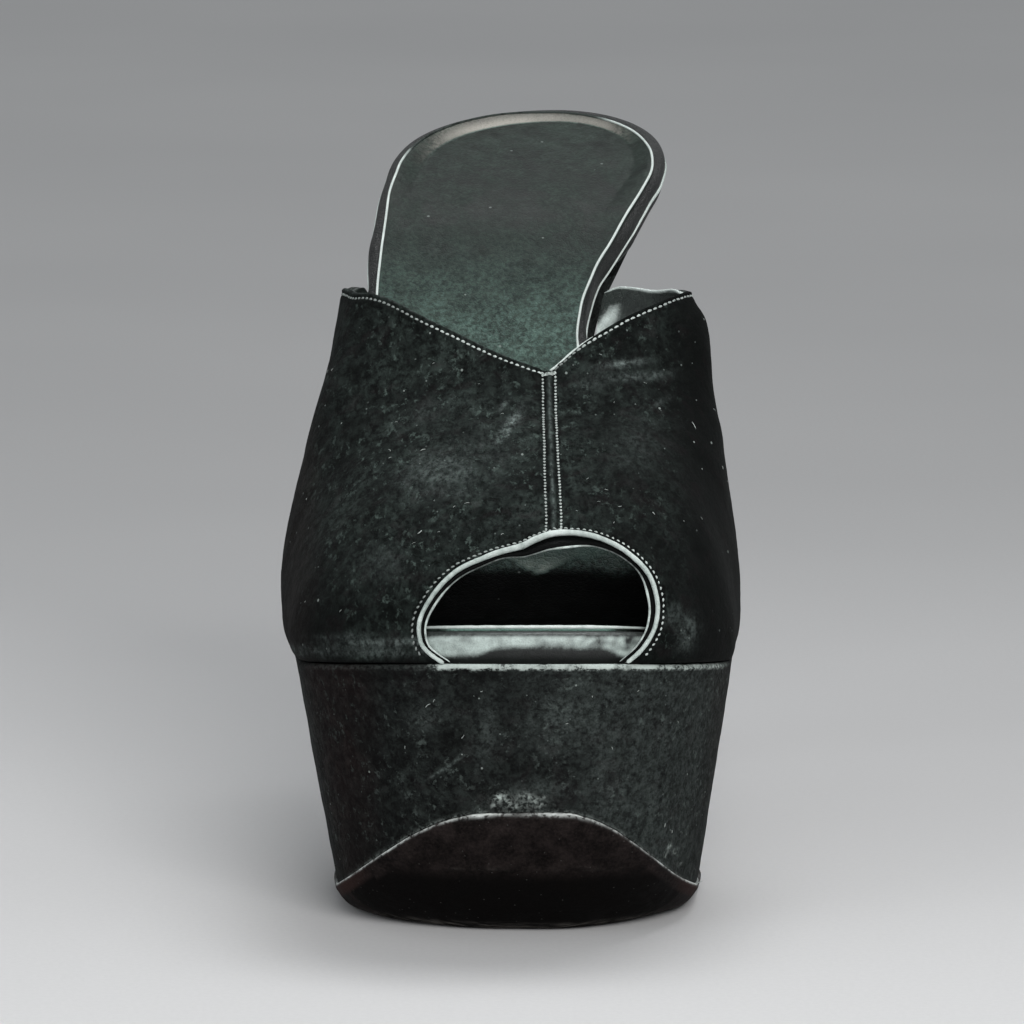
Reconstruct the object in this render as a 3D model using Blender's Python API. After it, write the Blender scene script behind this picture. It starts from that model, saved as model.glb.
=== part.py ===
"""Peep-toe platform mule, one shoe for the right foot, with a slim high heel.

The shoe is laid out in its own sizes first: d runs back from the tip of the toe along the floor,
x runs across with the inner (big toe) side positive, z is the height over the floor, all in
millimetres. The last step shifts everything so that the origin is at the middle of the shoe's
footprint, with +X to the inner side, +Y to the heel and +Z up, in metres.
"""

import math

import bpy
import numpy as np

# ---- driving sizes, mm -------------------------------------------------------------------
MM = 0.001
LENGTH = 205.0          # toe tip to back of the heel seat
WALL = 2.3              # upper: suede, stiffening and lining together
GAP = 0.3               # clearance between neighbouring pieces
INSOLE_T = 5.0          # wrapped footbed board
INSOLE_TOE_T = 7.2      # and at its rolled front edge
OUTSOLE_T = 2.8
TOP_LIFT_T = 5.6
WAIST_INSET = 6.0       # the outsole is this much narrower than the insole along the shank
PLATFORM_END = 149.0    # where the platform runs out into the shank
PLATFORM_ROWS = 36      # sections along the platform, shared with the outsole
OUTSOLE_END = 169.5     # the outsole stops at the heel breast
HEEL_FRONT = 170.0      # heel breast at the seat
TOE_ROUND = 42.0        # length of the rounded toe
TOE_POWER = 2.35        # 2 is an ellipse, more is blunter
TOE_CENTRE = 3.5        # the tip lies this far to the inner side
HEEL_ROUND = {-1: 36.0, 1: 33.0}   # length of the rounded heel, outer and inner side
HEEL_POWER = {-1: 2.0, 1: 2.05}
HEEL_CENTRE = 6.5
CONTACT_D = 66.0        # widest place of the tread, where the rocker has run out to nothing
CONTACT_X = -2.0
ROCKER_POWER = 1.7
ARCH_CENTRE = (2.5, 60.0)   # x, z of the peep opening's middle
ARCH_LIP = 1.6          # the lining closes the opening by this much more than the suede
CUP_DEPTH = 2.2         # hollow of the heel seat
BULGE = {-1: 2.4, 1: 1.3}   # how far the vamp swells over the platform's edge
BULGE_H = 2.6           # height in which it does most of it
FLARE_H = 12.0


def table(columns, *rows):
    """A short table as one array for each named column."""
    return dict(zip(columns.split(), np.array(rows, float).T))


# side view: the line the insole lies on, and the height of the vamp's ridge over it
PROFILE = table(
    "d     rise   ridge",
    (0,    58.0,  5.0),
    (2,    57.7,  10.0),
    (5,    57.1,  14.8),
    (10,   56.2,  20.6),
    (16,   55.2,  25.2),
    (22,   54.2,  28.6),
    (34,   52.4,  34.8),
    (50,   50.9,  41.6),
    (66,   50.4,  46.6),
    (75,   52.3,  47.8),
    (85,   57.4,  47.0),
    (95,   65.6,  46.2),
    (105,  75.6,  46.0),
    (115,  86.2,  46.0),
    (125,  96.8,  45.0),
    (135,  106.8, 42.0),
    (145,  116.0, 38.0),
    (155,  123.8, 34.0),
    (165,  129.8, 30.0),
    (175,  134.2, 28.0),
    (185,  137.4, 28.0),
    (195,  139.9, 28.0),
    (205,  142.0, 28.0),
)

# plan: half widths of the top edge to the outer and inner side, before the ends are rounded,
# and how far the vamp's walls lean out over them
OUTLINE = table(
    "d     outer  inner  lean_out  lean_in",
    (0,    44.0,  38.0,  0.0,      0.0),
    (20,   44.8,  38.8,  0.0,      0.0),
    (40,   46.4,  41.4,  0.0,      0.0),
    (54,   47.4,  42.1,  0.2,      0.2),
    (66,   48.0,  42.6,  1.1,      1.3),
    (76,   47.6,  40.8,  2.7,      4.0),
    (86,   46.2,  36.6,  3.3,      8.2),
    (95,   44.2,  31.2,  3.0,      12.6),
    (105,  42.0,  25.0,  1.8,      17.5),
    (115,  39.9,  19.8,  0.9,      20.5),
    (125,  38.0,  16.6,  1.2,      20.5),
    (132,  36.9,  15.7,  1.6,      20.0),
    (138,  36.0,  17.0,  1.6,      17.0),
    (145,  34.6,  19.9,  1.6,      12.0),
    (152,  33.0,  22.9,  1.6,      6.0),
    (160,  32.0,  26.3,  1.0,      2.0),
    (168,  30.6,  29.2,  0.5,      0.5),
    (178,  29.4,  30.6,  0.0,      0.0),
    (190,  28.6,  31.0,  0.0,      0.0),
    (205,  27.6,  31.0,  0.0,      0.0),
)

# x of the ridge and how square the vamp's sections are (1 is an ellipse, less is squarer)
SECTION = table(
    "d     ridge_x  square",
    (0,    6.5,     0.85),
    (22,   6.5,     0.72),
    (45,   5.6,     0.62),
    (66,   5.0,     0.58),
    (85,   4.6,     0.54),
    (105,  3.0,     0.50),
    (125,  0.0,     0.50),
    (145,  -3.0,    0.55),
)

# the tread's edge: height of the outsole's upper edge over the floor round the toe
LIP = table(
    "d     outer  inner",
    (0,    28.2,  28.2),
    (5,    27.50, 27.50),
    (5.3,  27.33, 27.33),
    (5.7,  27.25, 26.70),
    (6.2,  26.95, 26.04),
    (7,    26.20, 25.0),
    (8.4,  24.80, 23.3),
    (10,   23.10, 21.4),
    (12,   21.05, 19.4),
    (14,   19.05, 17.6),
    (16,   17.30, 16.1),
    (18,   15.75, 14.7),
    (21,   13.65, 12.87),
    (24,   11.85, 11.32),
    (30,   9.00,  8.8),
    (38,   6.35,  6.3),
    (48,   4.2,   4.2),
    (58,   3.1,   3.1),
    (66,   2.8,   2.8),
)

# share of the way from the tread's middle to its edge that lies flat, by direction off the toe
ROCKER = table(
    "angle  outer  inner",
    (0,     0.69,  0.69),
    (20,    0.71,  0.695),
    (42,    0.80,  0.785),
    (65,    0.945, 0.94),
    (80,    0.99,  0.99),
    (90,    1.00,  1.00),
)

# side view of the outsole's under side, behind the forepart
UNDER = table(
    "d     under",
    (66,   0.0),
    (88,   0.0),
    (95,   1.6),
    (102,  7.4),
    (109,  19.0),
    (117,  39.0),
    (125,  60.0),
    (133,  80.0),
    (141,  97.0),
    (149,  109.4),
    (157,  118.6),
    (165,  125.4),
    (175,  131.0),
)

# taper of the platform's sides
TAPER = table(
    "d     outer  inner",
    (0,    9.5,   9.5),
    (30,   10.0,  9.1),
    (66,   10.4,  8.4),
    (100,  10.0,  7.0),
    (150,  5.0,   4.0),
)

# outline of the peep opening in the front view, about its middle
ARCH = table(
    "angle  radius",
    (-8,    17.2),
    (2,     21.0),
    (12,    23.9),
    (22,    25.5),
    (33,    26.2),
    (46,    25.5),
    (59,    24.3),
    (73,    22.8),
    (84,    21.7),
    (92,    20.8),
    (101,   20.0),
    (120,   20.8),
    (138,   22.7),
    (153,   23.9),
    (166,   24.6),
    (175,   23.8),
    (188,   18.3),
)

# the vamp's back edge: how far back it reaches on the outer and inner side, over the share of
# the way from the bottom edge (0) up to the ridge (1)
TOPLINE = table(
    "share  outer   inner",
    (0.00,  141.0,  140.6),
    (0.04,  140.0,  139.4),
    (0.09,  137.0,  136.6),
    (0.17,  130.6,  131.2),
    (0.32,  120.0,  122.6),
    (0.42,  113.2,  116.6),
    (0.50,  109.2,  112.4),
    (0.60,  104.4,  107.2),
    (0.70,  99.4,   102.2),
    (0.80,  94.7,   97.9),
    (0.88,  90.7,   94.0),
    (0.94,  87.9,   90.4),
    (1.00,  85.0,   85.0),
)

# the heel: its sections from the seat down to the top lift
HEEL = table(
    "z      front   back    outer  inner",
    (129.0, 171.0,  203.6,  25.4,  25.1),
    (118.0, 173.0,  202.2,  21.0,  20.6),
    (106.0, 175.2,  200.8,  16.8,  16.1),
    (90.0,  176.6,  199.3,  13.8,  13.4),
    (64.0,  176.6,  197.5,  11.8,  11.8),
    (38.0,  175.0,  196.0,  10.7,  10.7),
    (18.0,  173.4,  195.0,  10.2,  10.2),
    (5.9,   172.4,  194.4,  10.1,  10.1),
)


def read(columns, name, at):
    """A smooth curve through one column, with no swing past its values."""
    xs = columns[next(iter(columns))]
    ys = columns[name]
    at = np.asarray(at, float)
    run = np.diff(xs)
    slope = np.diff(ys) / run
    tangent = np.empty_like(ys)
    tangent[0], tangent[-1] = slope[0], slope[-1]
    for i in range(1, len(xs) - 1):
        if slope[i - 1] * slope[i] <= 0:
            tangent[i] = 0
        else:
            one, two = 2 * run[i] + run[i - 1], run[i] + 2 * run[i - 1]
            tangent[i] = (one + two) / (one / slope[i - 1] + two / slope[i])
    at = np.clip(at, xs[0], xs[-1])
    i = np.clip(np.searchsorted(xs, at) - 1, 0, len(xs) - 2)
    t = (at - xs[i]) / run[i]
    return (
        (1 + 2 * t) * (1 - t) ** 2 * ys[i]
        + t * (1 - t) ** 2 * run[i] * tangent[i]
        + t * t * (3 - 2 * t) * ys[i + 1]
        + t * t * (t - 1) * run[i] * tangent[i + 1]
    )


def ease(at, start, end):
    """0 before start, 1 after end, smooth between."""
    t = np.clip((np.asarray(at, float) - start) / (end - start), 0, 1)
    return t * t * (3 - 2 * t)


def rise(d):
    return read(PROFILE, "rise", d)


def edge(d, side):
    """x of the platform's top edge, or of the insole's behind the vamp; side is -1 outer, 1 inner."""
    d = np.asarray(d, float)
    x = side * read(OUTLINE, "inner" if side > 0 else "outer", d)
    toe = 1 - (1 - np.clip(d / TOE_ROUND, 0, 1)) ** TOE_POWER
    heel = 1 - (1 - np.clip((LENGTH - d) / HEEL_ROUND[side], 0, 1)) ** HEEL_POWER[side]
    x = TOE_CENTRE + (x - TOE_CENTRE) * toe ** (1 / TOE_POWER)
    return HEEL_CENTRE + (x - HEEL_CENTRE) * heel ** (1 / HEEL_POWER[side])


def outline(d, side, inset=0.0):
    """(x, d) on the top edge's outline, moved in square to it by inset."""
    d = np.clip(np.asarray(d, float), 0.15, LENGTH - 0.15)
    step = 0.02
    lean = (edge(d + step, side) - edge(d - step, side)) / (2 * step)
    size = np.sqrt(1 + lean * lean)
    return edge(d, side) - side * inset / size, d + side * lean * inset / size


def stations(first, last, count, round_front, round_back):
    """Places along the shoe, closer together where an end is rounded."""
    t = np.linspace(0, 1, count)
    low = 1 - np.cos(t * math.pi / 2)
    high = np.sin(t * math.pi / 2)
    both = (1 - np.cos(t * math.pi)) / 2
    t = both if round_front and round_back else low if round_front else high if round_back else t
    if round_front and not round_back:
        t = 0.55 * low + 0.45 * np.linspace(0, 1, count) ** 1.25
    return first + (last - first) * t


# ---- the tread ---------------------------------------------------------------------------
def lip(d, side):
    """Height of the outsole's upper edge, which stands a little higher on the outer side."""
    round_toe = read(LIP, "inner" if side > 0 else "outer", d)
    return np.where(np.asarray(d) < 66, round_toe, read(UNDER, "under", d) + OUTSOLE_T)


def waist(d):
    """How far the sole is cut in from the insole's edge along the shank."""
    return WAIST_INSET * ease(d, 112, 148)


def tread_edge(d, side):
    """(x, d) where the platform's tapered side meets the outsole."""
    taper = np.tan(np.radians(read(TAPER, "inner" if side > 0 else "outer", d)))
    at = np.asarray(d, float)
    for _ in range(6):
        drop = np.maximum(rise(d) - lip(at, side) - GAP, 0)
        x, at = outline(d, side, drop * taper + waist(d))
    return x, at


def tread_radii():
    """Direction off the toe, and the tread's reach and edge height in that direction."""
    rows = []
    for side in (-1, 1):
        d = stations(0.15, 90, 160, True, False)
        x, at = tread_edge(d, side)
        angle = np.degrees(np.arctan2(x - CONTACT_X, CONTACT_D - at))
        rows.append(np.stack([angle, np.hypot(x - CONTACT_X, CONTACT_D - at), lip(at, side) - OUTSOLE_T], 1))
    rows = np.concatenate(rows)
    return rows[np.argsort(rows[:, 0])]


TREAD = tread_radii()


def under(x, d):
    """Height of the outsole's under side: flat on the floor, curved up to its edge round the toe, up to the shank behind."""
    x, d = np.asarray(x, float), np.asarray(d, float)
    angle = np.degrees(np.arctan2(x - CONTACT_X, CONTACT_D - d))
    reach = np.interp(angle, TREAD[:, 0], TREAD[:, 1])
    high = np.interp(angle, TREAD[:, 0], TREAD[:, 2])
    turned = np.minimum(np.abs(angle), 90)
    flat = np.where(angle < 0, read(ROCKER, "outer", turned), read(ROCKER, "inner", turned))
    t = (np.hypot(x - CONTACT_X, CONTACT_D - d) / reach - flat) / np.maximum(1 - flat, 0.02)
    front = high * np.clip(t, 0, 1.2) ** ROCKER_POWER
    return np.where(d < CONTACT_D, np.where(np.abs(angle) < 89.5, front, 0), read(UNDER, "under", d))


# ---- the vamp ----------------------------------------------------------------------------
def vamp(d, turn):
    """(x, d, z) on the vamp's outer face. turn runs 0 at the outer bottom edge, pi/2 on the ridge, pi at the inner one."""
    d, turn = np.broadcast_arrays(np.asarray(d, float), np.asarray(turn, float))
    across, up = np.cos(turn), np.sin(turn)
    ridge = read(PROFILE, "ridge", d)
    height = ridge * up
    square = np.abs(across) ** read(SECTION, "square", d)
    swell = (1 - np.exp(-height / BULGE_H)) * ease(d, 2, 14) * (1 - 0.6 * ease(d, 120, 139))
    lean = 1 - np.exp(-height / FLARE_H)
    outer = edge(d, -1) - BULGE[-1] * swell - read(OUTLINE, "lean_out", d) * lean
    inner = edge(d, 1) + BULGE[1] * swell + read(OUTLINE, "lean_in", d) * lean
    middle = read(SECTION, "ridge_x", d)
    x = np.where(across > 0, middle + (outer - middle) * square, middle + (inner - middle) * square)
    return np.stack([x, d, rise(d) + GAP + height], -1)


def vamp_turn(share):
    """The turn at a share of the way over the vamp, measured along its section at the ball."""
    turn = (1 - np.cos(np.linspace(0, math.pi, 1501))) / 2 * math.pi
    near_ridge = math.pi / 2 + np.linspace(-1, 1, 401) ** 3 * 0.3
    turn = np.unique(np.concatenate([turn, near_ridge]))
    section = vamp(66.0, turn)
    length = np.concatenate([[0], np.cumsum(np.linalg.norm(np.diff(section, axis=0), axis=1))])
    half = np.interp(math.pi / 2, turn, length)
    part = np.where(length < half, 0.5 * length / half, 0.5 + 0.5 * (length - half) / (length[-1] - half))
    return np.interp(share, part, turn)


def vamp_normal(d, turn):
    step_d, step_t = 0.05, 0.002
    along = vamp(d + step_d, turn) - vamp(d - step_d, turn)
    low, high = np.clip(turn - step_t, 0, math.pi), np.clip(turn + step_t, 0, math.pi)
    over = vamp(d, high) - vamp(d, low)
    normal = np.cross(over, along)
    return normal / np.linalg.norm(normal, axis=-1, keepdims=True)


def peep(turn, inset):
    """How far back the peep opening's edge lies, for each turn."""
    low, high = np.full_like(turn, 0.3), np.full_like(turn, 60.0)
    for _ in range(40):
        d = (low + high) / 2
        x, _, z = np.moveaxis(vamp(d, turn), -1, 0)
        x, z = x - ARCH_CENTRE[0], z - ARCH_CENTRE[1]
        angle = np.degrees(np.arctan2(z, x))
        angle = np.where(angle < -90, angle + 360, angle)
        inside = np.hypot(x, z) < read(ARCH, "radius", angle) - inset
        low, high = np.where(inside, d, low), np.where(inside, high, d)
    return (low + high) / 2


# ---- mesh helpers ------------------------------------------------------------------------
def add_object(name, points, faces, colour, roughness):
    mesh = bpy.data.meshes.new(name)
    mesh.from_pydata([tuple(p) for p in points], [], faces)
    mesh.validate()
    mesh.shade_smooth()
    mesh.set_sharp_from_angle(angle=math.radians(40))
    obj = bpy.data.objects.new(name, mesh)
    bpy.context.scene.collection.objects.link(obj)
    material = bpy.data.materials.new(name)
    material.use_nodes = True
    shader = material.node_tree.nodes["Principled BSDF"]
    shader.inputs["Base Color"].default_value = (*colour, 1)
    shader.inputs["Roughness"].default_value = roughness
    shader.inputs["Metallic"].default_value = 0
    mesh.materials.append(material)
    return obj


def slab(top, bottom):
    """A closed body between two grids of the same rows and columns, the top one facing up with rows running back and columns to the inner side."""
    rows, columns = top.shape[:2]
    points = np.concatenate([top.reshape(-1, 3), bottom.reshape(-1, 3)])
    size = rows * columns
    faces = []
    for i in range(rows - 1):
        for j in range(columns - 1):
            a, b = i * columns + j, (i + 1) * columns + j
            faces.append((a, a + 1, b + 1, b))
            faces.append((size + a, size + b, size + b + 1, size + a + 1))
    rim = [(0, j) for j in range(columns)]
    rim += [(i, columns - 1) for i in range(1, rows)]
    rim += [(rows - 1, j) for j in range(columns - 2, -1, -1)]
    rim += [(i, 0) for i in range(rows - 2, 0, -1)]
    rim = [i * columns + j for i, j in rim]
    for a, b in zip(rim, rim[1:] + rim[:1]):
        faces.append((b, a, size + a, size + b))
    return points, faces


def stack(grids):
    """A closed body whose rim passes through several grids of the same rows and columns, from the lowest up; the first and last are also its faces."""
    rows, columns = grids[0].shape[:2]
    rim = [(0, j) for j in range(columns)]
    rim += [(i, columns - 1) for i in range(1, rows)]
    rim += [(rows - 1, j) for j in range(columns - 2, -1, -1)]
    rim += [(i, 0) for i in range(rows - 2, 0, -1)]
    size, count = rows * columns, len(rim)
    points = [grids[0].reshape(-1, 3), grids[-1].reshape(-1, 3)]
    rims = [[i * columns + j for i, j in rim]]
    for k, grid in enumerate(grids[1:-1]):
        points.append(np.array([grid[i, j] for i, j in rim]))
        rims.append([2 * size + k * count + n for n in range(count)])
    rims.append([size + i * columns + j for i, j in rim])
    faces = []
    for i in range(rows - 1):
        for j in range(columns - 1):
            a, b = i * columns + j, (i + 1) * columns + j
            faces.append((a, b, b + 1, a + 1))
            faces.append((size + a, size + a + 1, size + b + 1, size + b))
    for low, high in zip(rims, rims[1:]):
        for n in range(count):
            m = (n + 1) % count
            faces.append((low[n], low[m], high[m], high[n]))
    return np.concatenate(points), faces


def rings(loops):
    """A closed body through loops of the same number of points, from the top one down, each running anticlockwise seen from above."""
    count = len(loops[0])
    points = np.concatenate(loops)
    faces = [tuple(range(count))]
    for k in range(len(loops) - 1):
        for j in range(count):
            a, b = k * count + j, k * count + (j + 1) % count
            faces.append((b, a, a + count, b + count))
    faces.append(tuple(reversed(range(len(points) - count, len(points)))))
    return points, faces


def across(outer, inner, columns, power=1.0):
    """A grid of (x, d) between two edges, a little closer together at the edges."""
    t = np.linspace(-1, 1, columns)
    t = np.sign(t) * np.abs(t) ** power
    t = ((t + 1) / 2)[None, :]
    x = outer[0][:, None] * (1 - t) + inner[0][:, None] * t
    d = outer[1][:, None] * (1 - t) + inner[1][:, None] * t
    return x, d


# ---- the pieces --------------------------------------------------------------------------
def board(d):
    """Upright thickness of the insole: even square to its slope, thicker at the rolled front."""
    d = np.asarray(d, float)
    slope = (rise(d + 0.5) - rise(d - 0.5)) / 1.0
    thick = INSOLE_TOE_T + (INSOLE_T - INSOLE_TOE_T) * ease(d, 6, 40)
    return thick * np.sqrt(1 + np.maximum(slope, 0) ** 2)


def make_insole():
    """Footbed board: a slab on the platform and the heel, narrower inside the vamp, hollowed at the seat, its upper edge rolled."""
    d = stations(0.15, LENGTH - 0.15, 44, True, True)
    inset = (WALL + GAP + 0.45) * (1 - ease(d, 141, 153))
    share = np.linspace(-1, 1, 9)
    grids = []
    for level, roll in ((0.0, 0.5), (0.14, 0.0), (0.72, 0.0), (0.93, 0.55), (1.0, 1.7)):
        x, at = across(*(outline(d, side, inset + roll) for side in (-1, 1)), 9)
        z = rise(at) + GAP + board(at) * level
        if level == 1.0:
            cup = ease(at, 148, 178) * (1 - ease(at, 188, 203))
            z = z - CUP_DEPTH * cup * (1 - np.abs(share)[None, :] ** 2.5)
        grids.append(np.stack([x, at, z], -1))
    return stack(grids)


def make_platform():
    """The covered block: its top follows the insole's line, its sides taper, its bottom lies on the outsole."""
    d = stations(0.15, PLATFORM_END, PLATFORM_ROWS, True, False)
    upper_edges = [outline(d, side, waist(d)) for side in (-1, 1)]
    lower_edges = [tread_edge(d, side) for side in (-1, 1)]
    x, at = across(*upper_edges, 11)
    top = np.stack([x, at, rise(at)], -1)
    x, at = across(*lower_edges, 11)
    low = under(x, at) + sole_thickness(at)
    return slab(top, np.stack([x, at, np.minimum(low + GAP, rise(at) - 0.8)], -1))


def sole_thickness(d):
    """Upright thickness of the outsole: even where it lies flat, more where it climbs."""
    slope = np.gradient(UNDER_LINE[1], UNDER_LINE[0])
    return OUTSOLE_T * np.sqrt(1 + np.interp(d, UNDER_LINE[0], np.where(UNDER_LINE[0] > 88, slope, 0)) ** 2)


UNDER_LINE = (np.linspace(66, 175, 400), read(UNDER, "under", np.linspace(66, 175, 400)))


def make_outsole():
    """The thin sole: on the floor under the ball, curved up round the toe, up the back of the platform and along the shank, where it is cut narrower."""
    d = stations(0.15, PLATFORM_END, PLATFORM_ROWS, True, False)
    d = np.concatenate([d, np.linspace(PLATFORM_END, OUTSOLE_END, 7)[1:]])
    edges = []
    for side in (-1, 1):
        x, at = tread_edge(d, side)
        edges.append((x, at + (d - at) * ease(d, PLATFORM_END, OUTSOLE_END - 8)))
    x, at = across(*edges, 11)
    low = under(x, at)
    high = low + sole_thickness(at)
    ceiling = rise(at) - np.where(at > PLATFORM_END, 0, 1.1)
    return slab(np.stack([x, at, np.minimum(high, ceiling)], -1), np.stack([x, at, low], -1))


def vamp_back(share):
    """How far back the vamp reaches: a V at the throat, a rounded peak and a back edge on each side."""
    name = "outer" if share <= 0.5 else "inner"
    return read(TOPLINE, name, min(share, 1 - share) * 2)


def make_upper():
    """The vamp: one hollow shell from the peep opening to its back edge, open at the toe, the throat and underneath."""
    share = np.concatenate([np.linspace(0, 0.5, 15), np.linspace(0.5, 1, 15)[1:]])
    turn = vamp_turn(share)
    rear = np.array([vamp_back(one) for one in share])
    shares = np.linspace(0, 1, 27) ** 1.05
    sheets = []
    for inset, depth in ((0.0, 0.0), (ARCH_LIP, WALL)):
        front = peep(turn, inset)
        d = front[None, :] + (rear - front)[None, :] * shares[:, None]
        angle = np.broadcast_to(turn[None, :], d.shape)
        sheet = vamp(d, angle)
        if depth:
            sheet = sheet - vamp_normal(d, angle) * depth
            for j in (0, -1):
                sheet[:, j, 2] = rise(sheet[:, j, 1]) + GAP
        sheets.append(sheet)
    return slab(*sheets)


def heel_loop(front, back, outer, inner, z, tilt):
    """One section of the heel: straight across the front, round behind."""
    share = np.sin(np.linspace(0, 1, 13) * math.pi / 2)
    form = (1 - share ** 2.5) ** (1 / 2.5)
    form[-1] = max(form[-2] * 0.35, 0.06)
    d = front + (back - front) * share
    height = z + tilt * (d - (front + back) / 2)
    low = np.stack([inner * form, d, height], -1)
    high = np.stack([-outer * form, d, height], -1)[::-1]
    return np.concatenate([low, high])


def make_heel():
    """The covered heel: flat at the breast, round behind, from the seat down to the top lift."""
    share = np.sin(np.linspace(0, 1, 13) * math.pi / 2)
    d = HEEL_FRONT + (LENGTH - 0.7 - HEEL_FRONT) * share
    sides = []
    for side in (1, -1):
        x, at = outline(d, side, 1.6)
        sides.append(np.stack([x, at, rise(at)], -1))
    loops = [np.concatenate([sides[0], sides[1][::-1]])]
    for z, front, back, outer, inner in zip(*(HEEL[name] for name in ("z", "front", "back", "outer", "inner"))):
        loops.append(heel_loop(front, back, outer, inner, z, 0.30 * np.clip((z - 80) / 50, 0, 1)))
    return rings(loops)


def make_top_lift():
    """The heel's rubber tip, flat on the floor."""
    front, back, outer, inner = (HEEL[name][-1] for name in ("front", "back", "outer", "inner"))
    return rings(
        [
            heel_loop(front - grow, back + grow, outer + grow, inner + grow, z, 0)
            for z, grow in ((TOP_LIFT_T, 0.0), (0.5, 0.3), (0.0, 0.0))
        ]
    )


PIECES = (
    # name, maker, colour, roughness
    ("outsole", make_outsole, (0.020, 0.014, 0.012), 0.60),
    ("platform", make_platform, (0.010, 0.011, 0.011), 0.95),
    ("insole", make_insole, (0.018, 0.024, 0.022), 0.45),
    ("upper", make_upper, (0.010, 0.011, 0.011), 0.95),
    ("heel", make_heel, (0.010, 0.011, 0.011), 0.90),
    ("top_lift", make_top_lift, (0.012, 0.012, 0.012), 0.60),
)


def main():
    for obj in list(bpy.data.objects):
        bpy.data.objects.remove(obj, do_unlink=True)
    made = [(name, *maker(), colour, roughness) for name, maker, colour, roughness in PIECES]
    everything = np.concatenate([points for _, points, *_ in made])
    middle = (everything.max(axis=0) + everything.min(axis=0)) / 2
    shift = np.array([middle[0], middle[1], 0.0])
    for name, points, faces, colour, roughness in made:
        add_object(name, (points - shift) * MM, faces, colour, roughness)
    return shift


SHIFT = main()
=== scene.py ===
"""Looks of the peep-toe platform mule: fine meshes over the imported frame, their finishes, camera and light.

Shapes are worked out in the shoe's own millimetres, as in the part: d runs back from the tip of the
toe along the floor, x runs across with the inner (big toe) side positive, z is the height over the
floor. put() turns them into the frame's metres.
"""

import math

import bpy
import numpy as np
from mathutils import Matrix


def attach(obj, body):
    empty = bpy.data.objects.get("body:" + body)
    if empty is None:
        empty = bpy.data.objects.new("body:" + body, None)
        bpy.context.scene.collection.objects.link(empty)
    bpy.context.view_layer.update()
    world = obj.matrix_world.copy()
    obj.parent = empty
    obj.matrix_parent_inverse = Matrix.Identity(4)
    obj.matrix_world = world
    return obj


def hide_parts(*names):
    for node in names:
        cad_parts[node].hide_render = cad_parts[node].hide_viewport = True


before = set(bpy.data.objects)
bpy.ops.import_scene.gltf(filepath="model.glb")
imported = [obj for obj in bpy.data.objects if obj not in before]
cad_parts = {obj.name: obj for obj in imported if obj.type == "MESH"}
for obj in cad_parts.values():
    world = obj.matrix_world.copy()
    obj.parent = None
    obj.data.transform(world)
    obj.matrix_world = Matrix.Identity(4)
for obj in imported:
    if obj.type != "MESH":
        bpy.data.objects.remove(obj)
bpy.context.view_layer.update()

# ---- driving sizes, mm -------------------------------------------------------------------
MM = 0.001
SHIFT = np.array([-3.26815865, 102.5, 0.0])   # from the shoe's own sizes to the frame's origin
LENGTH = 205.0
WALL = 2.3
GAP = 0.3
INSOLE_T = 5.0
INSOLE_TOE_T = 7.2
OUTSOLE_T = 2.8
TOP_LIFT_T = 5.6
WAIST_INSET = 6.0
PLATFORM_END = 149.0
OUTSOLE_END = 169.5
HEEL_FRONT = 170.0
TOE_ROUND = 42.0
TOE_POWER = 2.35
TOE_CENTRE = 3.5
HEEL_ROUND = {-1: 36.0, 1: 33.0}
HEEL_POWER = {-1: 2.0, 1: 2.05}
HEEL_CENTRE = 6.5
CONTACT_D = 66.0
CONTACT_X = -2.0
ROCKER_POWER = 1.7
ARCH_CENTRE = (2.5, 60.0)
BULGE = {-1: 2.4, 1: 1.3}
BULGE_H = 2.6
FLARE_H = 12.0
SUEDE_T = 1.2           # the vamp's suede; the lining under it fills the rest of the wall
SOCK_T = 0.8


def table(columns, *rows):
    """A short table as one array for each named column."""
    return dict(zip(columns.split(), np.array(rows, float).T))


PROFILE = table(
    "d     rise   ridge",
    (0,    58.0,  5.0),
    (2,    57.7,  10.0),
    (5,    57.1,  14.8),
    (10,   56.2,  20.6),
    (16,   55.2,  25.2),
    (22,   54.2,  28.6),
    (34,   52.4,  34.8),
    (50,   50.9,  41.6),
    (66,   50.4,  46.6),
    (75,   52.3,  47.8),
    (85,   57.4,  47.0),
    (95,   65.6,  46.2),
    (105,  75.6,  46.0),
    (115,  86.2,  46.0),
    (125,  96.8,  45.0),
    (135,  106.8, 42.0),
    (145,  116.0, 38.0),
    (155,  123.8, 34.0),
    (165,  129.8, 30.0),
    (175,  134.2, 28.0),
    (185,  137.4, 28.0),
    (195,  139.9, 28.0),
    (205,  142.0, 28.0),
)
OUTLINE = table(
    "d     outer  inner  lean_out  lean_in",
    (0,    44.0,  38.0,  0.0,      0.0),
    (20,   44.8,  38.8,  0.0,      0.0),
    (40,   46.4,  41.4,  0.0,      0.0),
    (54,   47.4,  42.1,  0.2,      0.2),
    (66,   48.0,  42.6,  1.1,      1.3),
    (76,   47.6,  40.8,  2.7,      4.0),
    (86,   46.2,  36.6,  3.3,      8.2),
    (95,   44.2,  31.2,  3.0,      12.6),
    (105,  42.0,  25.0,  1.8,      17.5),
    (115,  39.9,  19.8,  0.9,      20.5),
    (125,  38.0,  16.6,  1.2,      20.5),
    (132,  36.9,  15.7,  1.6,      20.0),
    (138,  36.0,  17.0,  1.6,      17.0),
    (145,  34.6,  19.9,  1.6,      12.0),
    (152,  33.0,  22.9,  1.6,      6.0),
    (160,  32.0,  26.3,  1.0,      2.0),
    (168,  30.6,  29.2,  0.5,      0.5),
    (178,  29.4,  30.6,  0.0,      0.0),
    (190,  28.6,  31.0,  0.0,      0.0),
    (205,  27.6,  31.0,  0.0,      0.0),
)
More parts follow.
